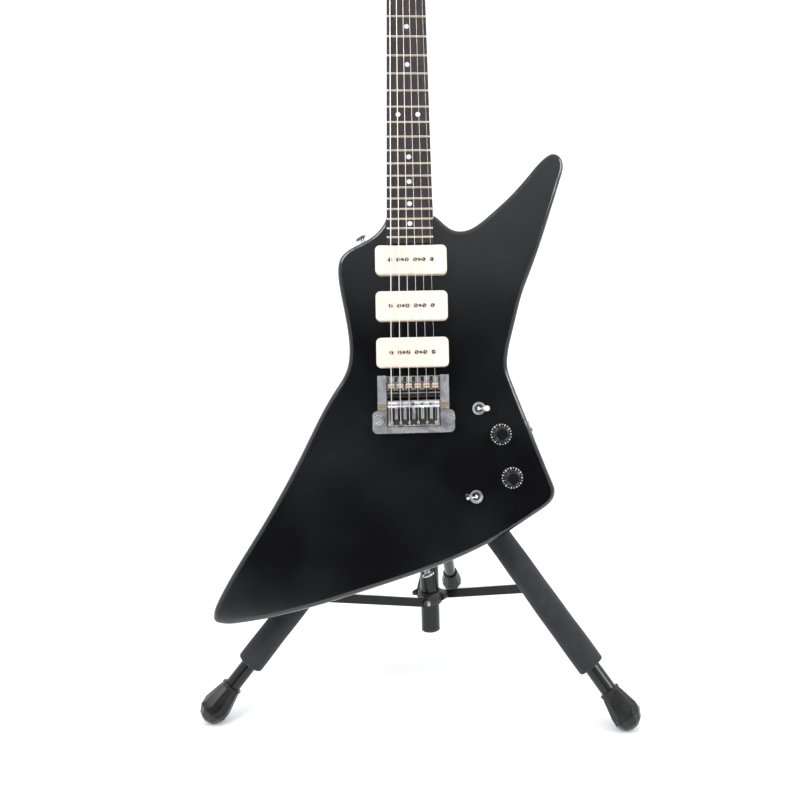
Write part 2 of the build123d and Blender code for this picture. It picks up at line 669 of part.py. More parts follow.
for tag, x, y, lean, size, tip in (("selector", 78.1, -25.2, 40.0, 18.5, 2.9),
                                   ("mini", 72.3, -129.3, -38.0, 20.0, 2.0)):
    with BuildPart(guitar) as switch_nut:
        with Locations((x, y, TOP - 16.0)):
            Cylinder(5.6, 16.0, align=BASE)
        with Locations((x, y, TOP)):
            Cylinder(8.0, 2.8, align=BASE)
        with Locations((x, y, TOP - 4.0)):
            Cone(2.9, 5.8, 8.0, align=BASE, mode=Mode.SUBTRACT)
    save(switch_nut, "switch_nut_" + tag)
    pivot = g(x, y, TOP - 1.0)
    lean_dir = guitar.x_dir * sin(radians(lean)) + guitar.z_dir * cos(radians(lean))
    with BuildPart(Plane(origin=pivot, z_dir=lean_dir)) as lever:
        Sphere(2.5)
        Cone(1.3, 1.6, size - 7.0, align=BASE)
        with Locations((0, 0, size - 9.0)):
            Cylinder(tip, 8.0, align=BASE)
        fillet(lever.edges().filter_by(GeomType.CIRCLE).sort_by(Axis(pivot, lean_dir))[-1], tip * 0.5)
        with BuildSketch(Plane(origin=pivot, x_dir=guitar.x_dir, z_dir=guitar.y_dir)):
            Circle(1.0)
        extrude(amount=2.9, both=True)
    save(lever, "switch_lever_" + tag)

# ---- strap buttons and output jack
with BuildPart() as strap_buttons:
    for p, d in STRAP_PINS:
        stem = Plane(origin=p, z_dir=d)
        with BuildSketch(stem):
            Circle(5.0)
        extrude(amount=2.6)
        with BuildSketch(stem):
            Circle(3.4)
        extrude(amount=9.0)
        with BuildSketch(stem.offset(9.0)):
            Circle(7.2)
        extrude(amount=2.6)
save(strap_buttons, "strap_buttons")

with BuildPart() as jack:
    with BuildSketch(jack_side.offset(-13.0)):
        Circle(10.0)
        Circle(3.25, mode=Mode.SUBTRACT)
    extrude(amount=14.0)
    with BuildSketch(jack_side.offset(1.0)):
        Circle(12.0)
        Circle(3.25, mode=Mode.SUBTRACT)
    extrude(amount=2.0)
save(jack, "jack")
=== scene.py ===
import math
import random

import bmesh
import bpy
from mathutils import Matrix, Vector


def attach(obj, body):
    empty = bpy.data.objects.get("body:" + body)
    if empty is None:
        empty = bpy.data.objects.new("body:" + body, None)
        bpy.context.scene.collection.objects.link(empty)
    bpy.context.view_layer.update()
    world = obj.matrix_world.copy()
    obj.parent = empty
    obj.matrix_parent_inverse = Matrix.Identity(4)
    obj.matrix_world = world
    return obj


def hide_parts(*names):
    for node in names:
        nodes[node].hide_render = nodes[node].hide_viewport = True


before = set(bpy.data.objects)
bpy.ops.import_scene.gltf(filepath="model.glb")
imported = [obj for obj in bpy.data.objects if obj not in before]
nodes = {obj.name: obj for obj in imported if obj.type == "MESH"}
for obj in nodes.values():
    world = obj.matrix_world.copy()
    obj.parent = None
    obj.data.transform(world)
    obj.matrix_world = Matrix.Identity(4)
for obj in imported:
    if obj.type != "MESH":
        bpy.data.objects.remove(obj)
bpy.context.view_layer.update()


def placed(name, data):
    """A new object in the scene that holds the data."""
    ob = bpy.data.objects.new(name, data)
    bpy.context.collection.objects.link(ob)
    return ob


# Viewpoint: nearly a metre in front, with the lens as high as the pickups. The stand is turned a
# little to one side, and the lens is shifted up the guitar.
shaft = Vector((0.01685, -0.05403, 0.0))
pitch, turn, tip = (math.radians(a) for a in (0.4255, 2.8929, 1.4610))
ahead = Vector((math.sin(turn) * math.cos(pitch), math.cos(turn) * math.cos(pitch), -math.sin(pitch)))
level = Vector((math.cos(turn), -math.sin(turn), 0.0))
plumb = ahead.cross(level)
cam_x = level * math.cos(tip) + plumb * math.sin(tip)
cam_down = -level * math.sin(tip) + plumb * math.cos(tip)
eye = shaft + Vector((0.018088, -0.901040, 0.443681))
cam_data = bpy.data.cameras.new("view")
cam_data.lens = 29.5848
cam_data.shift_x, cam_data.shift_y = -0.0874875, -0.067525
cam_data.clip_start = 0.02
cam = placed("view", cam_data)
aim = Matrix((cam_x, -cam_down, -ahead)).transposed().to_4x4()
aim.translation = eye
cam.matrix_world = aim
bpy.context.scene.camera = cam


class Wire:
    """A socket that takes part in sums, each of which adds a Math node."""

    def __init__(self, net, socket):
        self.net, self.socket = net, socket

    def sum(self, kind, a, b):
        return self.net.node("ShaderNodeMath", {"operation": kind}, {0: a, 1: b})

    def __add__(self, other):
        return self.sum("ADD", self, other)

    def __sub__(self, other):
        return self.sum("SUBTRACT", self, other)

    def __rsub__(self, other):
        return self.sum("SUBTRACT", other, self)

    def __mul__(self, other):
        return self.sum("MULTIPLY", self, other)

    __radd__ = __add__
    __rmul__ = __mul__


class Net:
    """A node tree that takes new nodes with their settings and the values of their sockets."""

    def __init__(self, tree):
        self.tree = tree

    def node(self, kind, settings=None, sockets=None, out=0):
        made = self.tree.nodes.new(kind)
        for key, value in (settings or {}).items():
            setattr(made, key, value)
        for key, value in (sockets or {}).items():
            if isinstance(value, Wire):
                self.tree.links.new(value.socket, made.inputs[key])
            else:
                made.inputs[key].default_value = value
        return Wire(self, made.outputs[out])


class Finish(Net):
    """A material on one Principled shader, with patterns in the piece's own coordinates."""

    def __init__(self, name, tone, rough, metal=0.0, coat=0.0, sheen=0.0, shine=0.5):
        self.material = bpy.data.materials.new(name)
        self.material.use_nodes = True
        super().__init__(self.material.node_tree)
        self.skin = self.tree.nodes["Principled BSDF"]
        for key, value in (("Base Color", (*tone, 1)), ("Roughness", rough), ("Metallic", metal),
                           ("Coat Weight", coat), ("Coat Roughness", 0.06), ("Sheen Weight", sheen),
                           ("Specular IOR Level", shine)):
            self.skin.inputs[key].default_value = value
        self.here = self.node("ShaderNodeTexCoord", out="Object")

    def feed(self, key, wire):
        self.tree.links.new(wire.socket, self.skin.inputs[key])

    def noise(self, scale, detail=3.0, rough=0.55, where=None, stretch=None):
        where = where or self.here
        if stretch:
            where = self.node("ShaderNodeMapping", {}, {"Vector": where, "Scale": stretch})
        return self.node("ShaderNodeTexNoise", {}, {"Vector": where, "Scale": scale, "Detail": detail,
                                                    "Roughness": rough})

    def spread(self, value, low, high, out_low, out_high):
        return self.node("ShaderNodeMapRange", {}, {0: value, 1: low, 2: high, 3: out_low, 4: out_high})

    def share(self, value, low, high):
        """How far a value has come from low to high, between 0 and 1."""
        return self.spread(value, low, high, 0.0, 1.0)

    def tones(self, amount, one, two):
        """A mix of two colours, the first of which may be a wire."""
        one = one if isinstance(one, Wire) else (*one, 1)
        return self.node("ShaderNodeMix", {"data_type": "RGBA"}, {0: amount, 6: one, 7: (*two, 1)}, 2)

    def colour(self, amount, one, two):
        self.feed("Base Color", self.tones(amount, one, two))

    def rough(self, value, fine, coarse):
        """Roughness between two values, over the middle of a noise."""
        self.feed("Roughness", self.spread(value, 0.3, 0.7, fine, coarse))

    def relief(self, height, depth, strength=1.0):
        self.feed("Normal", self.node("ShaderNodeBump", {}, {"Height": height, "Distance": depth,
                                                             "Strength": strength}))


# Studio: a white floor, a white surround behind and above, and a dim room in front that the black
# lacquer mirrors. Two large soft panels light the front from either side.
floor_mesh = bpy.data.meshes.new("floor")
floor_mesh.from_pydata([(-6, -0.8, 0), (6, -0.8, 0), (6, 6, 0), (-6, 6, 0)], [], [(0, 1, 2, 3)])
floor_mesh.materials.append(Finish("pale_floor", (0.92, 0.92, 0.92), 0.9).material)
placed("floor", floor_mesh)
world = bpy.data.worlds.new("surround")
world.use_nodes = True
sky = Net(world.node_tree)
way = sky.node("ShaderNodeTexCoord", out="Generated")
glow = None
for axis, low, high, least, most in (("Y", -0.7, 0.2, 0.05, 1.35), ("Z", 0.12, 0.48, 0.0, 1.0),
                                     ("X", 0.30, 0.37, 0.0, 0.95), ("X", -0.34, -0.27, 0.95, 0.0)):
    heading = sky.node("ShaderNodeSeparateXYZ", {}, {0: way}, axis)
    ramp = sky.node("ShaderNodeMapRange", {"interpolation_type": "SMOOTHSTEP"},
                    {0: heading, 1: low, 2: high, 3: least, 4: most})
    glow = ramp.sum("MAXIMUM", glow, ramp) if glow else ramp
backdrop = sky.tree.nodes["Background"]
sky.tree.links.new(glow.socket, backdrop.inputs[1])
backdrop.inputs[0].default_value = (0.97, 0.985, 1.0, 1)
bpy.context.scene.world = world
bpy.context.scene.view_settings.view_transform = "Standard"
for spot, size, power in (((-1.5, -1.5, 2.2), 1.4, 42), ((1.9, -1.3, 1.5), 1.2, 34)):
    panel = bpy.data.lights.new("panel", "AREA")
    panel.size = size
    panel.energy = power
    lamp = placed("panel", panel)
    lamp.location = spot
    lamp.rotation_euler = (Vector((0, 0, 0.5)) - Vector(spot)).to_track_quat("-Z", "Y").to_euler()

MM = Matrix.Scale(0.001, 4)
ALONG_X = Matrix.Rotation(math.pi / 2, 4, "Y")


def shift(x, y, z=0.0):
    return Matrix.Translation((x, y, z))


def frame_of(origin, z, x=None):
    """A frame at a place, with its z axis one way and its x axis as near as can be another way."""
    z = Vector(z).normalized()
    x = Vector(x) if x is not None else z.orthogonal()
    x = (x - z * x.dot(z)).normalized()
    y = z.cross(x)
    m = Matrix((x, y, z)).transposed().to_4x4()
    m.translation = origin
    return m


def circle(r, sides, turned=0.0):
    """Points round a circle, the first one turned by a share of a side."""
    return [(r * math.cos(math.tau * (k + turned) / sides), r * math.sin(math.tau * (k + turned) / sides))
            for k in range(sides)]


def loft(bm, rings, capped=True):
    """Faces from each ring to the next, and over both ends."""
    for low, high in zip(rings, rings[1:]):
        for k in range(len(low)):
            j = (k + 1) % len(low)
            bm.faces.new((low[k], low[j], high[j], high[k]))
    if capped:
        bm.faces.new(rings[0][::-1])
        bm.faces.new(rings[-1])


def spun(bm, profile, sides=48, at=None):
    """A profile of radius and height turned round the z axis. One that ends where it began is a loop."""
    at = at or Matrix()
    rings = []
    closed = profile[0] == profile[-1]
    for r, z in profile[:-1] if closed else profile:
        if r < 1e-6:
            rings.append([bm.verts.new(at @ Vector((0, 0, z)))])
        else:
            rings.append([bm.verts.new(at @ Vector((x, y, z))) for x, y in circle(r, sides)])
    for low, high in zip(rings, rings[1:] + (rings[:1] if closed else [])):
        for k in range(sides):
            j = (k + 1) % sides
            corners = [low[k % len(low)], low[j % len(low)], high[j % len(high)], high[k % len(high)]]
            kept = list(dict.fromkeys(corners))
            if len(kept) > 2:
                bm.faces.new(kept)


def slab(bm, outline, z0, z1, at=None):
    """A flat outline with a thickness."""
    at = at or Matrix()
    low = [bm.verts.new(at @ Vector((x, y, z0))) for x, y in outline]
    high = [bm.verts.new(at @ Vector((x, y, z1))) for x, y in outline]
    bm.faces.new(low[::-1])
    bm.faces.new(high)
    for k in range(len(low)):
        j = (k + 1) % len(low)
        bm.faces.new((low[k], low[j], high[j], high[k]))


def rounded(w, h, r, n=6, cx=0.0, cy=0.0):
    """The outline of a rectangle with round corners of n steps each."""
    points = []
    for k, (sx, sy) in enumerate(((1, 1), (-1, 1), (-1, -1), (1, -1))):
        for i in range(n + 1):
            a = math.pi / 2 * (k + i / n)
            points.append((cx + sx * (w / 2 - r) + r * math.cos(a), cy + sy * (h / 2 - r) + r * math.sin(a)))
    return points


def bake(ob):
    """The object's modifiers become part of its mesh."""
    done = bpy.data.meshes.new_from_object(ob.evaluated_get(bpy.context.evaluated_depsgraph_get()))
    ob.modifiers.clear()
    ob.data = done


def settle(ob, bevel, rounds, sharp, body, paint, stands_for):
    """Rounds the edges, shades and paints a piece, hides the parts it stands for and sets it on the body it
    rides on.
    """
    ob.data.shade_smooth()
    ob.data.set_sharp_from_angle(angle=math.radians(180 if bevel else sharp))
    if bevel:
        edge = ob.modifiers.new("edge", "BEVEL")
        edge.width, edge.segments, edge.limit_method = bevel, rounds, "ANGLE"
        edge.angle_limit = math.radians(28)
        edge.use_clamp_overlap = True
    weigh = ob.modifiers.new("weigh", "WEIGHTED_NORMAL")
    weigh.keep_sharp = True
    bake(ob)
    ob.data.materials.clear()
    ob.data.materials.append(paint.material)
    if stands_for:
        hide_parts(*stands_for)
    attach(ob, body)
    return ob


def formed(name, bm, outward=True):
    """A new object from a mesh in the making, with its faces turned outwards."""
    if outward:
        bmesh.ops.recalc_face_normals(bm, faces=bm.faces)
    mesh = bpy.data.meshes.new(name)
    bm.to_mesh(mesh)
    bm.free()
    return placed(name, mesh)


def cast(name, bm, at, body, paint, stock, stands_for=(), bevel=0.0, rounds=2, sharp=35):
    """A piece that was made in millimetres about its own frame."""
    ob = formed(name, bm)
    settle(ob, bevel, rounds, sharp, body, paint, stands_for)
    ob.data.transform(at @ MM)
    return ob


def faired(name, cad, body, paint, sharp=32, bevel=0.0):
    """A merged copy of a CAD node's mesh, with its flat faces made whole."""
    bm = bmesh.new()
    bm.from_mesh(nodes[cad].data)
    bmesh.ops.remove_doubles(bm, verts=bm.verts, dist=2e-6)
    bmesh.ops.dissolve_limit(bm, angle_limit=math.radians(0.4), verts=bm.verts, edges=bm.edges)
    return settle(formed(name, bm, outward=False), bevel, 2, sharp, body, paint, (cad,))


def ring_dir(azimuth):
    """The way out from the shaft, with the whole stand turned by seven degrees."""
    a = math.radians(azimuth - 7.0)
    return Vector((math.cos(a), math.sin(a), 0))


# Centre tube: gloss black painted steel, 25 mm across, with a moulded end plug, a fixed lower
# collar that carries the three brace pins, and the thinner upper shaft that slides inside it.
gloss_paint = Finish("tube_gloss_paint", (0.012, 0.012, 0.013), 0.16, coat=0.1, shine=0.35)
peel = gloss_paint.noise(420.0, 2.0)
scuff = gloss_paint.noise(38.0, 8.0, 0.7)
marks = gloss_paint.share(scuff, 0.62, 0.72)
gloss_paint.colour(marks, (0.006, 0.006, 0.006), (0.026, 0.025, 0.024))
gloss_paint.feed("Roughness", marks * 0.25 + gloss_paint.spread(peel, 0.3, 0.7, 0.13, 0.22))
gloss_paint.relief(peel, 0.00008, 0.5)
faired("tube", "centre_tube", "stand_tube", gloss_paint)
faired("inner_shaft", "upper_shaft", "upper_mast", gloss_paint)

moulded = Finish("moulded_black_plastic", (0.022, 0.022, 0.024), 0.48)
spark = moulded.noise(1500.0, 2.0, 0.6)
handled = moulded.noise(22.0, 5.0)
moulded.feed("Roughness", moulded.spread(handled, 0.35, 0.7, 0.36, 0.58))
moulded.colour(moulded.share(handled, 0.4, 0.75),
               (0.018, 0.018, 0.020), (0.032, 0.032, 0.034))
moulded.relief(spark, 0.00012, 0.6)
for name, cad, body in (("end_plug", "tube_plug", "stand_tube"),
                        ("brace_collar", "lower_collar", "stand_tube"), ("slide_hub", "hub", "hub"),
                        ("height_clutch", "clutch", "stand_tube"),
                        ("height_trigger", "clutch_trigger", "trigger"),
                        ("yoke_casting", "yoke", "upper_mast"), ("hub_lock_knob", "hub_knob", "hub_knob")):
    faired(name, cad, body, moulded, sharp=30)

# Hub and clutch fixings: domed screw heads and moulded grip ribs, fixed on the castings. They are
# small plated-steel and plastic parts set round the tube on a circle.
bright_screw = Finish("zinc_screw_steel", (0.46, 0.45, 0.43), 0.34, metal=1.0)
brushed = bright_screw.noise(900.0, 3.0, 0.6, stretch=(1.0, 1.0, 6.0))
bright_screw.rough(brushed, 0.24, 0.46)
bright_screw.relief(brushed, 0.00004, 0.4)


def growth(name, inputs):
    """A geometry tree that takes a mesh and named numbers: its net, its inputs and their wires."""
    tree = bpy.data.node_groups.new(name, "GeometryNodeTree")
    tree.interface.new_socket("Geometry", in_out="INPUT", socket_type="NodeSocketGeometry")
    asked = {label: tree.interface.new_socket(label, in_out="INPUT", socket_type="NodeSocket" + kind)
             for label, kind in inputs.items()}
    tree.interface.new_socket("Geometry", in_out="OUTPUT", socket_type="NodeSocketGeometry")
    net = Net(tree)
    given = tree.nodes.new("NodeGroupInput")
    return net, asked, {label: Wire(net, given.outputs[label]) for label in ("Geometry", *inputs)}


def grown(ob, net, asked, values, set_out, paint):
    """Realises the instances in one painted mesh, with the values of the tree's inputs."""
    whole = net.node("GeometryNodeRealizeInstances", {}, {0: set_out})
    painted = net.node("GeometryNodeSetMaterial", {}, {"Geometry": whole, "Material": paint.material})
    net.tree.links.new(painted.socket, net.tree.nodes.new("NodeGroupOutput").inputs[0])
    grow = ob.modifiers.new("grow", "NODES")
    grow.node_group = net.tree
    for label, value in values.items():
        grow[asked[label].identifier] = value
    bake(ob)


def circle_of(name, part, count, radius, at, body, paint):
    """Instances of a part round a circle, made by a node tree and realised into one mesh."""
    net, asked, ask = growth(name, {"Count": "Int", "Radius": "Float"})
    ring = net.node("GeometryNodeMeshCircle", {}, {"Vertices": ask["Count"], "Radius": ask["Radius"]})
    step = net.node("ShaderNodeMath", {"operation": "DIVIDE"}, {0: math.tau, 1: ask["Count"]})
    spin = net.node("ShaderNodeCombineXYZ", {}, {"Z": net.node("GeometryNodeInputIndex") * step})
    set_out = net.node("GeometryNodeInstanceOnPoints", {}, {
        "Points": ring, "Instance": ask["Geometry"], "Rotation": spin})
    ob = formed(name, part)
    grown(ob, net, asked, {"Count": count, "Radius": radius}, set_out, paint)
    settle(ob, 0.0, 1, 30, body, paint, ())
    ob.data.transform(at @ MM)
    return ob


def around(azimuth, radius, z):
    return shaft + ring_dir(azimuth) * radius + Vector((0, 0, z))


rib = bmesh.new()
slab(rib, rounded(1.6, 1.6, 0.6, 3), -12.0, 12.0)
circle_of("clutch_ribs", rib, 28, 16.9, frame_of(around(0, 0, 0.583), (0, 0, 1)), "stand_tube", moulded)
rib = bmesh.new()
slab(rib, rounded(1.4, 1.4, 0.5, 3), -2.6, 2.6)
circle_of("collar_ribs", rib, 36, 16.3, frame_of(around(0, 0, 0.0958), (0, 0, 1)), "stand_tube", moulded)
for body, azimuths, radius, height, spread in (("hub", (90, 210, 330), 24.0, 0.2882, 11.0),
                                               ("stand_tube", (90, 210, 330), 14.0, 0.0958, -22.2)):
    for azimuth in azimuths:
        out = ring_dir(azimuth)
        along = Vector((-out.y, out.x, 0))
        for side in ((1, -1) if spread > 0 else (1,)):
            bm = bmesh.new()
            spun(bm, [(0, -0.4), (3.8, -0.4), (3.8, 0.2), (3.3, 0.9), (2.2, 1.35), (1.0, 1.4), (0.9, 0.6),
                      (0, 0.6)], 28)
            spot = around(azimuth, radius / 1000, height) + along * side * spread / 1000
            cast("pivot_rivet", bm, frame_of(spot, along * side * (1 if spread > 0 else -1)), body,
                 bright_screw, "black_steel")

# Leg tubes, braces and their rivets: black steel. Each leg turns on a pin in the hub and each flat
# brace on a pin in the collar, with a domed rivet at its outer end.
strip_paint = Finish("brace_satin_paint", (0.014, 0.014, 0.015), 0.36, shine=0.3)
wear = strip_paint.noise(70.0, 7.0, 0.7)
worn = strip_paint.share(wear, 0.66, 0.74)
strip_paint.colour(worn, (0.006, 0.006, 0.006), (0.040, 0.037, 0.034))
strip_paint.rough(wear, 0.28, 0.46)
strip_paint.relief(strip_paint.noise(700.0), 0.00006, 0.4)
for side in ("left", "right", "rear"):
    faired("leg_tube_" + side + "_drawn", "leg_tube_" + side, "leg_" + side, gloss_paint)
    faired("brace_" + side + "_bar", "brace_" + side, "brace_" + side, strip_paint, sharp=30)

# Foam sleeves: closed-cell black foam pushed over the two front legs, with soft rounded ends and a
# slightly dented surface. The same foam sleeves the two arms of the yoke.
foam_skin = Finish("closed_cell_foam", (0.014, 0.015, 0.018), 0.92, sheen=0.08)
cells = foam_skin.node("ShaderNodeTexVoronoi", {}, {"Vector": foam_skin.here, "Scale": 900.0})
mottle = foam_skin.noise(60.0, 6.0, 0.65)
rub = foam_skin.share(mottle, 0.42, 0.72)
foam_skin.colour(rub, (0.010, 0.011, 0.014), (0.026, 0.028, 0.034))
foam_skin.rough(mottle, 0.80, 0.98)
foam_skin.relief(cells * 0.6 + foam_skin.noise(260.0, 4.0) * 0.8, 0.0005, 0.55)


def sleeve(name, at, length, outer, inner, body, stands_for, phase):
    """A foam tube with soft ends and shallow dents."""
    bm = bmesh.new()
    sides, steps, end = 56, max(12, int(length / 3)), 3.2
    turns = (0.4, 0.8, 1.2, 1.5708)
    rings = []
    profile = [(inner, 0.0), (outer - end, 0.0)]
    profile += [(outer - end + end * math.sin(a), end - end * math.cos(a)) for a in turns]
    profile += [(outer, end + (length - 2 * end) * k / steps) for k in range(1, steps)]
    profile += [(outer - end + end * math.cos(a), length - end + end * math.sin(a)) for a in (0.0, *turns)]
    profile += [(inner, length)]
    for r, z in profile:
        ring = []
        for k in range(sides):
            a = math.tau * k / sides
            swell = 0.16 * math.sin(3 * a + z * 0.045 + phase) + 0.12 * math.sin(z * 0.11 + 2 * a + 2 * phase)
            wide = r + (swell - 0.12 if r > inner + 1 else 0.0)
            ring.append(bm.verts.new((wide * math.cos(a), wide * math.sin(a), z)))
        rings.append(ring)
    loft(bm, rings + rings[:1], capped=False)
    ob = cast(name, bm, at, body, foam_skin, "black_foam", stands_for, sharp=80)
    return ob


spread_angle = math.radians(43.0)


def leg_frame(azimuth, along=0.0):
    down = ring_dir(azimuth) * math.sin(spread_angle) - Vector((0, 0, math.cos(spread_angle)))
    out = ring_dir(azimuth)
    return frame_of(around(azimuth, 0.024, 0.2882) + down * along / 1000, down, Vector((-out.y, out.x, 0)))


for side, azimuth, phase in (("left", 210, 0.3), ("right", 330, 1.9)):
    sleeve("foam_sleeve_" + side, leg_frame(azimuth, 96.0), 217.1, 16.5, 9.5, "leg_" + side,
           ("foam_" + side,), phase)

# Rubber feet: moulded black rubber caps with ten flat sides that swell towards the floor, a thin
# rolled lip round the tube and a small worn flat where they stand.
foot_rubber = Finish("moulded_foot_rubber", (0.014, 0.014, 0.014), 0.34, shine=0.3)
bloom = foot_rubber.noise(45.0, 6.0, 0.65)
foot_rubber.colour(foot_rubber.share(bloom, 0.45, 0.75),
                   (0.006, 0.006, 0.006), (0.020, 0.019, 0.018))
foot_rubber.rough(bloom, 0.20, 0.38)
foot_rubber.relief(foot_rubber.noise(900.0, 2.0), 0.0001, 0.5)
for side, azimuth in (("left", 210), ("right", 330), ("rear", 90)):
    bm = bmesh.new()
    at = leg_frame(azimuth, 370.3)
    rings = []
    for r, z, turn_by in ((9.6, -28.2, 0.0), (12.2, -28.2, 0.0), (12.9, -27.4, 0.0), (12.9, -25.6, 0.0),
                          (12.0, -24.8, 0.0), (13.4, -20.0, 0.0), (17.6, -2.0, 0.0), (17.4, 5.0, 0.5),
                          (12.2, 13.0, 0.5), (5.6, 17.0, 0.5)):
        rings.append([bm.verts.new((x, y, z)) for x, y in circle(r, 10, turn_by)])
    loft(bm, rings, capped=False)
    bm.faces.new(rings[-1])
    inner = [bm.verts.new((x, y, 2.0)) for x, y in circle(9.6, 10)]
    for k in range(10):
        bm.faces.new((rings[0][(k + 1) % 10], rings[0][k], inner[k], inner[(k + 1) % 10]))
    bm.faces.new(inner[::-1])
    ob = cast("rubber_foot_" + side, bm, at, "leg_" + side, foot_rubber, "black_rubber", ("foot_" + side,),
              bevel=0.9, rounds=3)
    for v in ob.data.vertices:
        v.co.z = max(v.co.z, 0.0)

# Guitar body: one solid slab cut to an angular offset outline, edges rounded over, finished in thick
# black lacquer, with a screwed cover over the control cavity and a four-screw neck plate behind.
lean, roll = math.radians(4.9), math.radians(-0.3)
guitar_z = Vector((0, -math.cos(lean), math.sin(lean)))
guitar_x = Vector((math.cos(roll), math.sin(roll) * math.sin(lean), math.sin(roll) * math.cos(lean)))
guitar_at = frame_of(shaft + Vector((-0.0114, -0.1244, 0.3892)), guitar_z, guitar_x)
guitar_turn = guitar_at.to_3x3()


def fitted(name, bm, paint, stock, stands_for=(), **edges):
    """A piece that is fixed on the guitar."""
    return cast(name, bm, guitar_at, "guitar", paint, stock, stands_for, **edges)


def on_guitar(x, y, z, facing=None, level_with=None):
    """A frame at a place on the guitar, in millimetres from its own origin."""
    spot = guitar_at @ Vector((x / 1000, y / 1000, z / 1000))
    facing = guitar_turn @ Vector(facing or (0, 0, 1))
    return frame_of(spot, facing, guitar_turn @ Vector(level_with or (1, 0, 0)))


lacquer = Finish("black_gloss_lacquer", (0.004, 0.004, 0.005), 0.10, coat=0.5)
haze = lacquer.noise(6.0, 4.0, 0.5)
swirl = lacquer.noise(170.0, 6.0, 0.75, stretch=(1.0, 0.3, 1.6))
smear = lacquer.share(haze, 0.42, 0.68)
hairline = lacquer.share(swirl, 0.60, 0.66)
lacquer.colour(smear, (0.003, 0.003, 0.004), (0.010, 0.011, 0.013))
lacquer.feed("Roughness", lacquer.spread(haze, 0.3, 0.7, 0.07, 0.17) + hairline * 0.05)
lacquer.relief(lacquer.noise(14.0, 2.0), 0.0010, 0.10)
faired("body_slab", "body", "guitar", lacquer, sharp=40)
cover_plastic = Finish("satin_cover_plastic", (0.018, 0.018, 0.018), 0.38)
cover_plastic.rough(cover_plastic.noise(30.0, 5.0), 0.28, 0.46)
cover_plastic.relief(cover_plastic.noise(1200.0), 0.00008, 0.4)
faired("rear_cover", "control_cover", "guitar", cover_plastic)
chrome = Finish("polished_chrome", (0.78, 0.79, 0.80), 0.08, metal=1.0)
smudge = chrome.noise(90.0, 6.0, 0.6)
chrome.feed("Roughness", chrome.spread(smudge, 0.4, 0.75, 0.06, 0.24))
chrome.colour(chrome.share(smudge, 0.5, 0.8), (0.80, 0.81, 0.82), (0.62, 0.60, 0.56))
chrome.relief(chrome.noise(240.0, 2.0), 0.00003, 0.3)
faired("neck_joint_plate", "neck_plate", "guitar", chrome)


def cross_screw(bm, r, h, at):
    """A domed screw head with a cross cut into it."""
    sides = 24
    rings = []
    for k, (f, z) in enumerate(((1.0, -0.2), (1.0, 0.25 * h), (0.86, 0.62 * h), (0.62, 0.86 * h), (0.42, h),
                                (0.0, h))):
        if f:
            ring = []
            for i in range(sides):
                a = math.tau * i / sides
                dip = 0.5 * h if i % 6 == 0 and k in (3, 4) else 0.0
                ring.append(bm.verts.new(at @ Vector((r * f * math.cos(a), r * f * math.sin(a), z - dip))))
            rings.append(ring)
        else:
            rings.append([bm.verts.new(at @ Vector((0, 0, z - 0.5 * h)))])
    for low, high in zip(rings, rings[1:]):
        for i in range(sides):
            j = (i + 1) % sides
            bm.faces.new(list(dict.fromkeys((low[i], low[j], high[j % len(high)], high[i % len(high)]))))


bm = bmesh.new()
cover_turn = math.radians(14)
cos_turn, sin_turn = math.cos(cover_turn), math.sin(cover_turn)
flip = Matrix.Rotation(math.pi, 4, "X")
for u, v in ((-31, -50), (31, -50), (-31, 50), (31, 50), (0, -51), (0, 51)):
    cover_x, cover_y = 92 + u * cos_turn - v * sin_turn, -72 + u * sin_turn + v * cos_turn
    cross_screw(bm, 2.9, 1.2, shift(cover_x, cover_y, -57.4) @ flip)
for u in (-19, 19):
    for v in (184, 204):
        cross_screw(bm, 4.1, 1.8, shift(u, v, -60.6) @ flip)
fitted("back_screws", bm, bright_screw, "chrome")

# Neck: one piece of reddish brown hardwood from the boxy heel, along a rounded back, over a swelling
# behind the nut and into the tilted headstock, under clear satin lacquer.
neck_wood = Finish("neck_hardwood", (0.30, 0.15, 0.07), 0.30, coat=0.35)
straight = neck_wood.node("ShaderNodeMapping", {}, {"Vector": neck_wood.here, "Rotation": (-lean, 0, 0),
                                                    "Scale": (1, 1, 0.06)})
fibre = neck_wood.noise(260.0, 8.0, 0.62, where=straight)
band = neck_wood.noise(34.0, 4.0, 0.5, where=straight)
pore = neck_wood.share(neck_wood.noise(900.0, 3.0, 0.5, where=straight), 0.60, 0.70)
grain = neck_wood.tones(band * 0.55 + fibre * 0.45, (0.17, 0.072, 0.030), (0.42, 0.22, 0.105))
neck_wood.colour(pore * 0.55, grain, (0.07, 0.03, 0.014))
neck_wood.rough(fibre, 0.24, 0.38)
neck_wood.relief(fibre - pore * 0.6, 0.00012, 0.35)
scale_mm = 648.0
nut_width, end_width, board_end = 43.0, 56.4, 174.5
head_start = 652.0
bend = math.radians(10.0)


def neck_point(x, y, depth, top):
    """Along the neck to the nut, then along the tilted headstock."""
    if y <= head_start:
        return (x, y, top - depth)
    v, w = y - head_start, top - depth
    return (x, head_start + v * math.cos(bend) + w * math.sin(bend),
            -1.0 - v * math.sin(bend) + w * math.cos(bend))


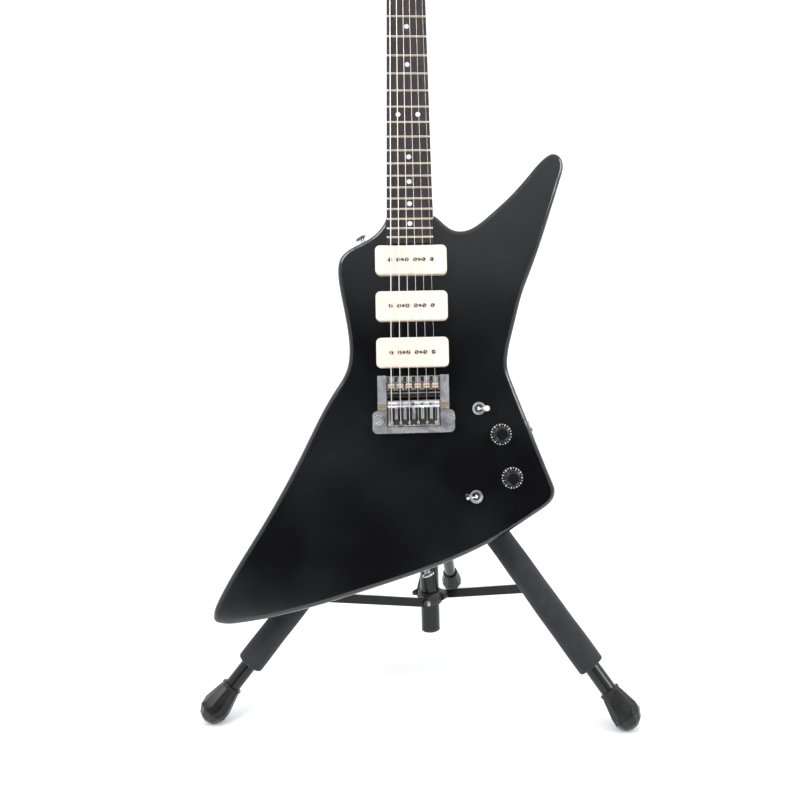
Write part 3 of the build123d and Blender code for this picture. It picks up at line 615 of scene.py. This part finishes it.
stations = [(y, half, deep, square, -6.0) for y, half, deep, square in (
    (174.8, 27.9, 23.6, 9.0), (214.0, 27.9, 23.6, 9.0), (228.0, 27.6, 23.6, 7.0), (238.0, 27.2, 22.5, 4.5),
    (250.0, 26.9, 19.5, 3.0), (268.0, 26.7, 17.6, 2.4), (300.0, 26.3, 17.2, 2.25), (400.0, 24.9, 16.6, 2.2),
    (500.0, 23.5, 15.9, 2.2), (590.0, 22.3, 15.2, 2.2), (620.0, 21.9, 15.4, 2.2), (634.0, 21.7, 16.6, 2.3),
    (644.0, 21.6, 17.6, 2.5), (651.9, 21.5, 17.6, 3.0))]
for v, half, deep, square in (
        (1.9, 21.6, 17.8, 4.0), (4.0, 23.4, 16.4, 5.0), (7.0, 27.8, 14.8, 7.0), (10.0, 32.2, 13.6, 9.0),
        (15.0, 36.0, 13.2, 12.0), (22.0, 39.4, 13.2, 14.0), (40.0, 40.0, 13.2, 14.0),
        (70.0, 38.8, 13.2, 14.0), (100.0, 37.5, 13.2, 14.0), (130.0, 34.8, 13.2, 14.0),
        (146.0, 32.8, 13.2, 14.0), (153.0, 28.6, 13.2, 14.0), (157.5, 24.0, 13.2, 14.0),
        (159.6, 16.0, 13.2, 14.0)):
    stations.append((head_start + v, half, deep, square, 0.0))
bm = bmesh.new()
rows = []
for y, half, deep, square, top in stations:
    row = []
    for k in range(33):
        a = math.pi * k / 32
        x = half * math.copysign(abs(math.cos(a)) ** (2 / square), math.cos(a))
        d = deep * abs(math.sin(a)) ** (2 / square)
        row.append(bm.verts.new(neck_point(x, y, d, top)))
    for k in range(1, 12):
        row.append(bm.verts.new(neck_point(-half + 2 * half * k / 12, y, 0.0, top)))
    rows.append(row)
loft(bm, rows)
fitted("neck_and_headstock", bm, neck_wood, "neck_wood", ("neck",), bevel=0.7, rounds=2)

# Fingerboard: oiled dark rosewood with open pores, ten pearl dots let in flush, and side dots on
# the edge the player sees. It is glued on top of the neck.
rosewood = Finish("oiled_rosewood", (0.050, 0.026, 0.018), 0.42)
along_board = rosewood.node("ShaderNodeMapping", {}, {"Vector": rosewood.here, "Rotation": (-lean, 0, 0),
                                                      "Scale": (1, 1, 0.05)})
streak = rosewood.noise(160.0, 8.0, 0.65, where=along_board)
fleck = rosewood.share(rosewood.noise(1300.0, 3.0, 0.5, where=along_board), 0.58, 0.68)
board_tone = rosewood.tones(rosewood.share(streak, 0.3, 0.7), (0.009, 0.006, 0.006), (0.034, 0.021, 0.019))
rosewood.colour(fleck * 0.6, board_tone, (0.012, 0.006, 0.005))
rosewood.rough(streak, 0.34, 0.55)
rosewood.relief(streak - fleck * 0.8, 0.00018, 0.5)
faired("rosewood_board", "fingerboard", "guitar", rosewood)
pearl = Finish("pearl_dot", (0.80, 0.80, 0.77), 0.22, coat=0.4)
shimmer = pearl.noise(420.0, 4.0, 0.6)
pearl.colour(pearl.share(shimmer, 0.35, 0.7), (0.62, 0.66, 0.68), (0.90, 0.88, 0.84))
pearl.rough(shimmer, 0.16, 0.30)
faired("pearl_dots", "inlays", "guitar", pearl)


def fret_at(n):
    return scale_mm / 2 ** (n / 12)


def board_half(y):
    return (nut_width + (end_width - nut_width) * (scale_mm - y) / (scale_mm - board_end)) / 2


bm = bmesh.new()
for n in (3, 5, 7, 9, 12, 12, 15, 17, 19, 21):
    y = (fret_at(n) + fret_at(n - 1)) / 2
    for apart in ((-4, 4) if n == 12 else (0,)):
        spun(bm, [(0, -0.4), (1.05, -0.4), (1.05, 0.03), (0, 0.05)], 16,
             shift(-board_half(y + apart), y + apart, -3.2) @ Matrix.Rotation(-math.pi / 2, 4, "Y"))
fitted("side_dots", bm, pearl, "pearl_dot")

# Frets: 22 lengths of half-round nickel-silver wire pressed into slots, spaced by the twelfth root
# of two, each cut to the board's width with dressed ends.
fret_metal = Finish("nickel_silver", (0.80, 0.74, 0.60), 0.30, metal=1.0)
drawn = fret_metal.noise(700.0, 3.0, stretch=(0.1, 1, 1))
fret_metal.rough(drawn, 0.26, 0.44)
fret_metal.colour(drawn, (0.78, 0.70, 0.54), (0.92, 0.88, 0.74))
wire = bmesh.new()
crown = [(1.25 * math.cos(math.pi * k / 10), 1.12 * math.sin(math.pi * k / 10)) for k in range(11)]
loft(wire, [[wire.verts.new((x, u * tight, v * tight)) for u, v in crown] for x,
            tight in ((-1.0, 0.35), (-0.985, 0.8), (-0.96, 1.0), (0.96, 1.0), (0.985, 0.8), (1.0, 0.35))])
fret_wire = formed("fret_wires", wire)
net, asked, ask = growth("fret_spacing", {"Count": "Int", "Scale length": "Float", "Nut width": "Float",
                                          "End width": "Float", "Board end": "Float"})
line = net.node("GeometryNodeMeshLine", {}, {"Count": ask["Count"]})
number = net.node("GeometryNodeInputIndex") + 1.0
place = number.sum("DIVIDE", ask["Scale length"], number.sum("POWER", 2.0, number * (1 / 12)))
part_way = place.sum("DIVIDE", ask["Scale length"] - place, ask["Scale length"] - ask["Board end"])
half = (ask["Nut width"] + (ask["End width"] - ask["Nut width"]) * part_way) * 0.5 - 0.25
spots = net.node("GeometryNodeSetPosition", {}, {
    "Geometry": line, "Position": net.node("ShaderNodeCombineXYZ", {}, {"Y": place})})
set_out = net.node("GeometryNodeInstanceOnPoints", {}, {
    "Points": spots, "Instance": ask["Geometry"],
    "Scale": net.node("ShaderNodeCombineXYZ", {}, {"X": half, "Y": 1.0, "Z": 1.0})})
grown(fret_wire, net, asked, {"Count": 22, "Scale length": scale_mm, "Nut width": nut_width,
                              "End width": end_width, "Board end": board_end}, set_out, fret_metal)
settle(fret_wire, 0.0, 1, 50, "guitar", fret_metal, ("frets",))
fret_wire.data.transform(guitar_at @ MM)

# Nut: a bone block with six filed slots and a rounded front edge, glued at the end of the board.
bone = Finish("bone_nut", (0.78, 0.71, 0.56), 0.32, coat=0.2)
aged = bone.noise(120.0, 5.0, 0.6)
bone.colour(bone.share(aged, 0.35, 0.75), (0.82, 0.76, 0.62), (0.62, 0.52, 0.36))
bone.rough(aged, 0.24, 0.42)
faired("bone_nut_block", "nut", "guitar", bone, bevel=0.00025)

# Headstock fittings: a screwed truss-rod cover and six sealed chrome tuners, each with a housing
# behind, a bushing and a slotted post in front, and an oval button that turns.
tuner_rows = (36, 78, 120)
tuner_x, post_x = 24.0, 18.0
head_origin = guitar_at @ Vector((0, head_start / 1000, -0.001))
head_z = guitar_turn @ Vector((0, math.sin(bend), math.cos(bend)))
head_at = frame_of(head_origin, head_z, guitar_x)
bm = bmesh.new()
slab(bm, rounded(14, 20, 5, 8, cy=14.0), -0.9, 0.7)
cast("truss_rod_cover", bm, head_at, "guitar", cover_plastic, "black_cover", ("truss_cover",), bevel=0.4)
bm = bmesh.new()
for y in (7.2, 20.8):
    cross_screw(bm, 1.6, 0.8, shift(0, y, 0.7))
for side in (-1, 1):
    for y in tuner_rows:
        cross_screw(bm, 1.7, 0.8, shift(side * tuner_x + side * 7.2, y - 9.8, -14.6) @ flip)
cast("headstock_screws", bm, head_at, "guitar", bright_screw, "chrome")
housings, posts = bmesh.new(), bmesh.new()
for side in (-1, 1):
    for y in tuner_rows:
        at = shift(side * tuner_x, y)
        slab(housings, rounded(18.4, 15.4, 4.6, 6), -23.8, -14.0, at)
        slab(housings, rounded(7.0, 5.0, 2.2, 5, cx=side * 7.2, cy=-9.0), -15.2, -13.9, at)
        spun(housings, [(0, 8.6), (3.3, 8.6), (3.3, 14.0), (3.9, 14.4), (3.9, 15.6), (3.0, 16.2), (3.0, 19.0),
                        (0, 19.0)], 28, shift(side * tuner_x, y, -19.2) @ Matrix.Rotation(side * math.pi / 2,
                                                                                          4, "Y"))
        post = shift(side * post_x, y)
        spun(posts, [(0, -1.0), (5.4, -1.0), (5.4, 0.5), (4.9, 1.2), (3.7, 1.5), (3.0, 1.5), (2.9, 3.0),
                     (2.55, 4.4), (2.5, 8.6), (2.9, 9.8), (3.0, 13.6), (2.7, 14.5), (1.9, 14.9), (0.8, 14.5),
                     (0, 14.4)], 32, post)
cast("tuner_housing_set", housings, head_at, "guitar", chrome, "chrome", ("tuner_housings",), bevel=0.9,
     rounds=3)
cast("tuner_post_set", posts, head_at, "guitar", chrome, "chrome", ("tuner_posts",), sharp=40)
for tag in ("left", "right"):
    for k in (1, 2, 3):
        faired("tuner_%s_%d_button" % (tag, k), "tuner_button_%s_%d" % (tag, k), "tuner_%s_%d" % (tag, k),
               chrome, sharp=40)

# Pickups: three cream soapbar covers with crowned tops, moulded in plastic and let into the body
# between the strings and the lacquer, each held by two screws through its face.
cream = Finish("cream_pickup_plastic", (0.90, 0.83, 0.76), 0.30, coat=0.15)
yellowing = cream.noise(55.0, 5.0, 0.6)
grime = cream.share(cream.noise(330.0, 6.0, 0.7), 0.62, 0.74)
cream_tone = cream.tones(cream.share(yellowing, 0.35, 0.7), (0.88, 0.79, 0.71), (0.82, 0.70, 0.59))
cream.colour(grime * 0.3, cream_tone, (0.42, 0.34, 0.27))
cream.rough(yellowing, 0.24, 0.40)
cream.relief(cream.noise(420.0, 2.0), 0.00005, 0.3)
pickup_rows = (155.0, 99.2, 43.4)
pickup_long, pickup_wide, pickup_x = 86, 36, 0.4
for k, y in enumerate(pickup_rows):
    bm = bmesh.new()
    cover = rounded(pickup_long, pickup_wide, 6, 8)
    edge = [(0.0, -12.5), (0.0, -3.8), (0.22, -2.9), (0.8, -2.1), (1.6, -1.7), (3.0, -1.55)]
    rows = []
    for inset, z in edge:
        short, slim = 1 - 2 * inset / pickup_long, 1 - 2 * inset / pickup_wide
        rows.append([bm.verts.new((pickup_x + px * short, y + py * slim, z)) for px, py in cover])
    loft(bm, rows)
    fitted("pickup_cover_%d" % (k + 1), bm, cream, "cream_plastic", ("pickup_%d" % (k + 1),), sharp=60)

# Yoke pads: black foam sleeves over the two steel arms of the yoke, the neck rests between them.
for side, tag, phase in ((-1, "left", 0.9), (1, "right", 2.6)):
    sleeve("yoke_pad_" + tag, on_guitar(side * 32.0, 647.0, -37.5), 44.0, 9.2, 5.0, "upper_mast",
           ("yoke_pads",), phase)

# Pole screws: six slotted steel poles and two smaller cover screws in every pickup. The slots stand
# at odd angles, as the poles are set by ear.
dark_steel = Finish("blued_steel", (0.10, 0.095, 0.09), 0.34, metal=1.0)
tarnish = dark_steel.noise(260.0, 5.0, 0.6)
dark_steel.colour(tarnish, (0.03, 0.027, 0.024), (0.13, 0.11, 0.09))
dark_steel.rough(tarnish, 0.22, 0.5)


def slotted(bm, r, base, top, wide, at):
    """A screw head split across by a straight screwdriver slot."""
    floor_z = base + 0.35 * (top - base)
    spun(bm, [(0, base), (r, base), (r, floor_z), (0, floor_z)], 24, at)
    start = math.asin(wide / 2 / r)
    for half in (1, -1):
        arc = [start + (math.pi - 2 * start) * k / 12 for k in range(13)]
        slab(bm, [(r * math.cos(a), half * r * math.sin(a)) for a in arc], floor_z, top, at)


def askew():
    return Matrix.Rotation(random.uniform(-0.9, 0.9), 4, "Z")


random.seed(4)
bm = bmesh.new()
for y in pickup_rows:
    for k in range(6):
        slotted(bm, 2.4, -2.2, -0.85, 0.7, shift(pickup_x + (k - 2.5) * 10.0, y) @ askew())
    for x in (-9.6, 10.4):
        slotted(bm, 1.7, -2.2, -1.0, 0.5, shift(x, y) @ askew())
fitted("pickup_poles", bm, dark_steel, "chrome", ("pole_screws",), bevel=0.1)

# Bridge: a plated steel plate on two slotted studs, with raised cheeks, a grooved front rail and a
# window for the string bar. Small blocks and a thin rail lock each saddle.
plated = Finish("worn_bridge_plating", (0.74, 0.74, 0.75), 0.3, metal=0.8)
pits = plated.noise(150.0, 6.0, 0.7)
painted_reflection_and_bump_noise = plated.noise(75.0, 3.0, 0.5)
# Painted reflections: the base colour runs from near black to near white over this noise. The dark and bright
# patches stand for surroundings that the plating mirrors. The pits darken it a little as real wear.
plated.colour(plated.share(painted_reflection_and_bump_noise - pits * 0.12, 0.34, 0.52), (0.34, 0.33, 0.36), (0.94, 0.94, 0.96))
plated.rough(pits, 0.12, 0.26)
plated.feed("Metallic", plated.spread(painted_reflection_and_bump_noise, 0.35, 0.65, 0.45, 0.85))
plated.relief(painted_reflection_and_bump_noise + pits * 0.05, 0.0009, 0.5)
faired("bridge_plate", "bridge_base", "guitar", plated, sharp=30, bevel=0.0007)
saddle_x = (-25.0, -14.7, -4.4, 5.9, 16.2, 26.5)
string_radii = (0.58, 0.46, 0.33, 0.22, 0.17, 0.13)
bm = bmesh.new()
for x in (-40.2, 42.8):
    at = shift(x, -36.0) @ Matrix.Rotation(0.5 if x < 0 else -0.3, 4, "Z")
    spun(bm, [(0, -30.5), (5.0, -30.5), (5.0, -12.5), (6.4, -12.5), (6.4, -9.4), (5.5, -9.0), (5.5, -5.6),
              (6.4, -5.2), (6.4, -1.6), (0, -1.6)], 40, at)
    slotted(bm, 6.4, -1.6, 0.5, 1.8, at)
fitted("bridge_stud_pair", bm, plated, "chrome", ("bridge_studs",), bevel=0.25)
bm = bmesh.new()
for x in saddle_x:
    slab(bm, rounded(6.8, 3.2, 0.6, 3, cx=x, cy=-7.6), -4.4, -2.2)
    slab(bm, rounded(2.4, 6.2, 0.5, 3, cx=x + 4.9, cy=11.4), 1.2, 1.62)
    slab(bm, rounded(1.5, 6.2, 0.5, 3, cx=x - 3.6, cy=11.4), 1.2, 1.6)
slab(bm, rounded(62.6, 8.4, 0.5, 3, cx=0.7, cy=-5.2), -4.5, -4.15)
fitted("saddle_locks", bm, dark_steel, "chrome", bevel=0.12)
bm = bmesh.new()
slab(bm, rounded(62.4, 1.2, 0.4, 3, cx=0.7, cy=-4.6), -4.4, -2.4)
fitted("saddle_rail", bm, plated, "chrome", bevel=0.2)
bm = bmesh.new()
for x in (-36.0, 37.4):
    slab(bm, rounded(9.6, 7.4, 1.0, 4, cx=x, cy=-19.6), 3.4, 4.5)
    slab(bm, rounded(3.0, 7.6, 0.8, 4, cx=x, cy=-19.6), 4.3, 5.0)
brass = Finish("worn_brass", (0.60, 0.48, 0.33), 0.26, metal=1.0)
wear = brass.noise(300.0, 5.0, 0.6)
brass.colour(wear, (0.46, 0.33, 0.20), (0.80, 0.70, 0.54))
brass.feed("Metallic", brass.spread(wear, 0.35, 0.65, 0.7, 1.0))
brass.rough(wear, 0.18, 0.42)
fitted("bridge_lock_blocks", bm, brass, "brass", bevel=0.3)

# Saddles: six grooved brass rollers, each in a plated block with two set screws for its height.
blocks, rollers, setters = bmesh.new(), bmesh.new(), bmesh.new()
for x, r in zip(saddle_x, string_radii):
    big = 3.6 - r
    slab(blocks, rounded(8.6, 7.4, 1.0, 4, cx=x, cy=2.2), -4.3, -0.9)
    for side in (-1, 1):
        slab(blocks, rounded(1.5, 7.4, 0.6, 3, cx=x + side * 3.55, cy=2.2), -1.1, 2.4)
        spun(setters, [(0, -0.9), (0.62, -0.9), (0.62, 0.25), (1.15, 0.25), (1.3, 0.0), (1.3, -1.2),
                       (0, -1.2)], 12, shift(x + side * 1.9, -0.3, 0.6))
    spun(rollers, [(0, -3.4), (big * 0.9, -3.4), (big, -3.1), (big, -0.5 - r), (big - r * 0.7, 0.0),
                   (big, 0.5 + r), (big, 3.1), (big * 0.9, 3.4), (0, 3.4)], 36, shift(x, 3.8, 1.2) @ ALONG_X)
fitted("saddle_blocks", blocks, plated, "chrome", ("saddles",), bevel=0.25)
fitted("saddle_rollers", rollers, brass, "brass", ("saddles",), sharp=50)
fitted("saddle_set_screws", setters, dark_steel, "chrome", sharp=30)

# String bar: the plated rocking bar under the strings, with seven fingers, a tail rail, three set
# screws along its top and dark fillers between the fingers. It tilts about its own length.
bm = bmesh.new()
spun(bm, [(0, -30.6), (4.2, -30.6), (4.8, -30.0), (4.8, 30.0), (4.2, 30.6), (0, 30.6)], 48,
     shift(0.6, -18.0, -3.8) @ ALONG_X)
cast("string_bar_rod", bm, guitar_at, "string_bar", plated, "chrome", ("string_bar",), sharp=30)
bm = bmesh.new()
for k in range(1, 6):
    slab(bm, rounded(3.2, 20.6, 1.2, 4, cx=-25.0 + (k - 0.5) * 10.3, cy=-32.0), -4.0, -0.8)
for x in (-27.9, 29.3):
    slab(bm, rounded(2.2, 20.6, 0.8, 4, cx=x, cy=-32.0), -5.2, -0.8)
slab(bm, rounded(61.0, 3.0, 0.8, 4, cx=0.6, cy=-42.0), -7.6, -3.6)
cast("string_bar_fingers", bm, guitar_at, "string_bar", plated, "chrome", ("string_bar",), bevel=0.45,
     rounds=3)
bm = bmesh.new()
for x in (0.0, 10.5, 20.6):
    spun(bm, [(0, 0.15), (0.8, 0.15), (0.8, 1.25), (1.5, 1.25), (1.7, 0.9), (1.7, 0.2), (0, 0.2)], 20,
         shift(x, -18.0))
for x in saddle_x:
    slab(bm, rounded(3.8, 15.4, 0.6, 3, cx=x, cy=-32.6), -7.4, -4.6)
for k in range(1, 6):
    slab(bm, rounded(6.6, 21.0, 0.8, 4, cx=-25.0 + (k - 0.5) * 10.3, cy=-32.0), -5.2, -3.2)
    slab(bm, rounded(6.6, 6.4, 0.8, 4, cx=-25.0 + (k - 0.5) * 10.3, cy=-38.6), -3.4, -0.72)
cast("string_bar_set_screws", bm, guitar_at, "string_bar", moulded, "black_plastic", sharp=30)

# Strings: six steel strings, the lower three wound, from ball ends behind the bar over the rollers
# and the nut to two and a half turns round their posts.
steel = Finish("plain_string_steel", (0.86, 0.85, 0.82), 0.40, metal=1.0)
steel.rough(steel.noise(400.0, 3.0), 0.34, 0.50)
wound = Finish("wound_string_nickel", (0.80, 0.78, 0.73), 0.42, metal=1.0)
turns = wound.noise(2600.0, 1.0, stretch=(0.02, 1.0, 0.02))
wound.colour(turns, (0.70, 0.67, 0.60), (0.90, 0.88, 0.84))
wound.rough(turns, 0.36, 0.50)
wound.relief(turns, 0.00006, 0.6)


def thread(bm, points, r, sides):
    """A round wire drawn through a list of points, carried along without twisting."""
    rings = []
    across = Vector((1, 0, 0))
    for k, p in enumerate(points):
        along = (points[min(k + 1, len(points) - 1)] - points[max(k - 1, 0)]).normalized()
        across = (across - along * across.dot(along)).normalized()
        up = along.cross(across)
        rings.append([bm.verts.new(p + (across * x + up * y) * r) for x, y in circle(1.0, sides)])
    loft(bm, rings)


def in_guitar(p):
    return guitar_at.inverted() @ (head_at @ (Vector(p) / 1000)) * 1000


heavy, light, ends = bmesh.new(), bmesh.new(), bmesh.new()
for k, (x, r) in enumerate(zip(saddle_x, string_radii)):
    side = -1 if k < 3 else 1
    row = tuner_rows[k if k < 3 else 5 - k]
    top_z = 5.0 - 0.25
    path = [Vector((x, -39.2, -2.4)), Vector((x, -37.5, -0.5))]
    path += [Vector((x, -37.5 + 41.3 * f, -0.5 + (top_z + 0.5) * f)) for f in (0.33, 0.66, 0.97)]
    path += [Vector((x, 3.8, top_z + 0.06)), Vector((x, 6.2, top_z))]
    slot_at = Vector((-17.5 + 7.0 * k, 650.4, 1.1 + r))
    path += [Vector((x, 6.2, top_z)).lerp(slot_at, f) for f in (0.2, 0.5, 0.8, 0.995)] + [slot_at]
    angle = 0.0 if side < 0 else math.pi
    coil = []
    for n in range(61):
        wide = 3.3 + r if n < 1 else 2.62 + r + 0.68 * max(0.0, 1 - n / 6)
        a = angle - side * math.tau * 2.5 * n / 60
        coil.append(in_guitar((side * post_x + wide * math.cos(a), row + wide * math.sin(a),
                               5.0 + 2.2 * r * 2.5 * n / 60)))
    path += [slot_at.lerp(coil[0], f) for f in (0.06, 0.5, 0.94)] + coil
    thread(heavy if k < 3 else light, path, r, 10 if k < 3 else 8)
    spun(ends, [(0, -1.6), (1.5, -1.6), (1.9, -1.2), (1.9, -0.7), (1.3, -0.3), (1.3, 0.3), (1.9, 0.7),
                (1.9, 1.2), (1.5, 1.6), (0, 1.6)], 20, shift(x, -39.4, -2.4) @ ALONG_X)
fitted("wound_strings", heavy, wound, "steel_string", ("strings",), sharp=80)
fitted("plain_strings", light, steel, "steel_string", ("strings",), sharp=80)
cast("string_ball_ends", ends, guitar_at, "string_bar", brass, "brass", sharp=40)

# Controls: two black skirted knobs on steel shafts, each with white marks moulded round the skirt.
# They turn three hundred degrees. The potentiometer shafts stay with the body.
faired("potentiometer_shafts", "pot_shafts", "guitar", bright_screw)
knob_black = Finish("black_knob_plastic", (0.008, 0.008, 0.008), 0.30, shine=0.3)
thumbed = knob_black.noise(130.0, 5.0, 0.6)
knob_black.rough(thumbed, 0.10, 0.20)
knob_black.colour(thumbed, (0.006, 0.006, 0.006), (0.012, 0.012, 0.013))
mark_white = Finish("white_knob_marks", (0.92, 0.92, 0.90), 0.45)
mark_white.colour(mark_white.noise(500.0, 4.0), (0.95, 0.95, 0.94), (0.72, 0.71, 0.68))
for tag, x, y in (("upper", 103.9, -56.6), ("lower", 115.8, -108.4)):
    at = on_guitar(x, y, -12.5)
    bm = bmesh.new()
    spun(bm, [(0, 11.4), (3.1, 11.4), (3.1, 0.4), (12.7, 0.4), (13.0, 0.7), (13.0, 1.7), (12.7, 2.3),
              (12.2, 2.6), (10.6, 2.65), (10.25, 2.9), (10.05, 3.6), (8.95, 14.0), (8.7, 14.8), (8.1, 15.25),
              (7.2, 15.4), (6.9, 15.2), (6.6, 15.0), (0, 15.0)], 72)
    cast("knob_cap_" + tag, bm, at, "knob_" + tag, knob_black, "black_knob", ("knob_" + tag,), sharp=28)
    mark = bmesh.new()
    slab(mark, rounded(2.0, 1.25, 0.15, 2), 2.45, 2.80)
    circle_of("knob_marks_" + tag, mark, 11, 11.6, at, "knob_" + tag, mark_white)
    dot = bmesh.new()
    slab(dot, rounded(1.2, 1.1, 0.4, 3), 2.45, 2.78)
    circle_of("knob_dots_" + tag, dot, 11, 12.0, at @ Matrix.Rotation(math.pi / 11, 4, "Z"), "knob_" + tag,
              mark_white)

# Switches: a three-way selector with a cream tip and a small bat-lever switch, each through a
# knurled ring nut with a coned mouth. Both levers flip from one side to the other.
for tag, body, x, y, tilt, size in (("selector", "selector_lever", 78.1, -25.2, 40.0, 18.5),
                                    ("mini", "mini_lever", 72.3, -129.3, -38.0, 20.0)):
    at = on_guitar(x, y, -12.5)
    bm = bmesh.new()
    spun(bm, [(3.0, -4.0), (5.6, 2.3), (5.9, 2.8), (7.3, 2.8), (7.7, 2.4), (7.7, 0.2), (7.3, 0.0), (5.6, 0.0),
              (5.6, -16.0), (3.0, -16.0), (3.0, -4.0)], 56)
    cast("switch_ring_" + tag, bm, at, "guitar", plated, "chrome", ("switch_nut_" + tag,), sharp=30)
    knurl = bmesh.new()
    slab(knurl, [(-0.3, -0.28), (0.3, 0.0), (-0.3, 0.28)], 0.5, 2.1)
    circle_of("switch_knurl_" + tag, knurl, 48, 7.7, at, "guitar", plated)
    lean_by = math.radians(tilt)
    at = on_guitar(x, y, -13.5, (math.sin(lean_by), 0, math.cos(lean_by)), (0, 1, 0))
    bm = bmesh.new()
    stem = [(0, -2.5), (1.2, -2.2), (2.1, -1.4), (2.5, 0.0), (2.3, 0.9), (1.7, 1.7), (1.4, 2.3), (1.3, 4.0)]
    stem += [(1.5, size - 8.6), (0, size - 8.6)] if tag == "selector" else [(1.45, size - 10.0),
                                                                            (1.9, size - 6.0),
                                                                            (2.0, size - 3.4),
                                                                            (1.7, size - 1.8),
                                                                            (0.9, size - 1.1),
                                                                            (0, size - 1.0)]
    spun(bm, stem, 32)
    spun(bm, [(0, -2.9), (1.0, -2.9), (1.0, 2.9), (0, 2.9)], 16, ALONG_X)
    cast("switch_stem_" + tag, bm, at, body, chrome, "chrome", ("switch_lever_" + tag,), sharp=40)
    if tag == "selector":
        bm = bmesh.new()
        spun(bm, [(0, size - 9.0), (1.9, size - 9.0), (2.5, size - 8.3), (3.3, size - 6.4), (3.5, size - 4.2),
                  (3.1, size - 2.5), (1.9, size - 1.5), (1.0, size - 1.05), (0, size - 1.0)], 32)
        cast("selector_tip", bm, at, body, cream, "cream_plastic", ("switch_lever_selector",), sharp=60)

# Strap buttons and output jack: flared plated buttons screwed to the horn and the tail, and a dished
# round plate with a hexagon nut and a socket in the lower edge of the body.
bm, heads = bmesh.new(), bmesh.new()
for spot, facing in (((-57.5, 180.4, -34.5), (-0.49, 0.872, 0)), ((10.0, -213.4, -34.5), (0.3, -0.954, 0))):
    at = guitar_at.inverted() @ on_guitar(*spot, facing, (0, 0, 1))
    at.translation = Vector(spot)
    spun(bm, [(0, -0.6), (5.0, -0.6), (5.0, 0.9), (4.5, 1.7), (3.7, 2.6), (3.4, 3.6), (3.4, 7.2), (3.8, 8.3),
              (5.2, 9.1), (6.8, 9.6), (7.2, 10.2), (7.2, 10.8), (6.8, 11.4), (6.0, 11.6), (3.4, 11.6),
              (3.0, 10.9), (0, 10.8)], 44, at)
    cross_screw(heads, 2.7, 0.7, at @ shift(0, 0, 10.9))
fitted("strap_button_pair", bm, plated, "chrome", ("strap_buttons",), sharp=35)
fitted("strap_button_screws", heads, bright_screw, "chrome")
at = on_guitar(141.0, -52.5, -34.5, (0.936, 0.351, 0), (0, 0, 1))
bm = bmesh.new()
spun(bm, [(3.3, -13.0), (10.0, -13.0), (10.0, 1.0), (12.0, 1.0), (12.0, 2.0), (11.4, 2.6), (10.4, 2.9),
          (9.4, 2.6), (8.2, 1.6), (5.4, 1.3), (5.4, 2.6), (4.9, 3.0), (4.0, 3.0), (3.3, 2.5), (3.3, -13.0)],
          56)
cast("jack_plate", bm, at, "guitar", chrome, "chrome", ("jack",), sharp=30)
bm = bmesh.new()
rims = [[[bm.verts.new((x, y, z)) for x, y in ring] for ring in (circle(7.4, 6), circle(5.2, 36))]
        for z in (1.2, 2.75)]
for outer_ring, inner_ring in rims:
    for k in range(36):
        corner = (k + 3) // 6 % 6
        after = (k + 4) // 6 % 6
        spare = [outer_ring[after]] if after != corner else []
        bm.faces.new([inner_ring[k], outer_ring[corner]] + spare + [inner_ring[(k + 1) % 36]])
for k in range(6):
    bm.faces.new((rims[0][0][k], rims[0][0][(k + 1) % 6], rims[1][0][(k + 1) % 6], rims[1][0][k]))
for k in range(36):
    bm.faces.new((rims[0][1][k], rims[0][1][(k + 1) % 36], rims[1][1][(k + 1) % 36], rims[1][1][k]))
cast("jack_nut", bm, at, "guitar", bright_screw, "chrome", bevel=0.2)
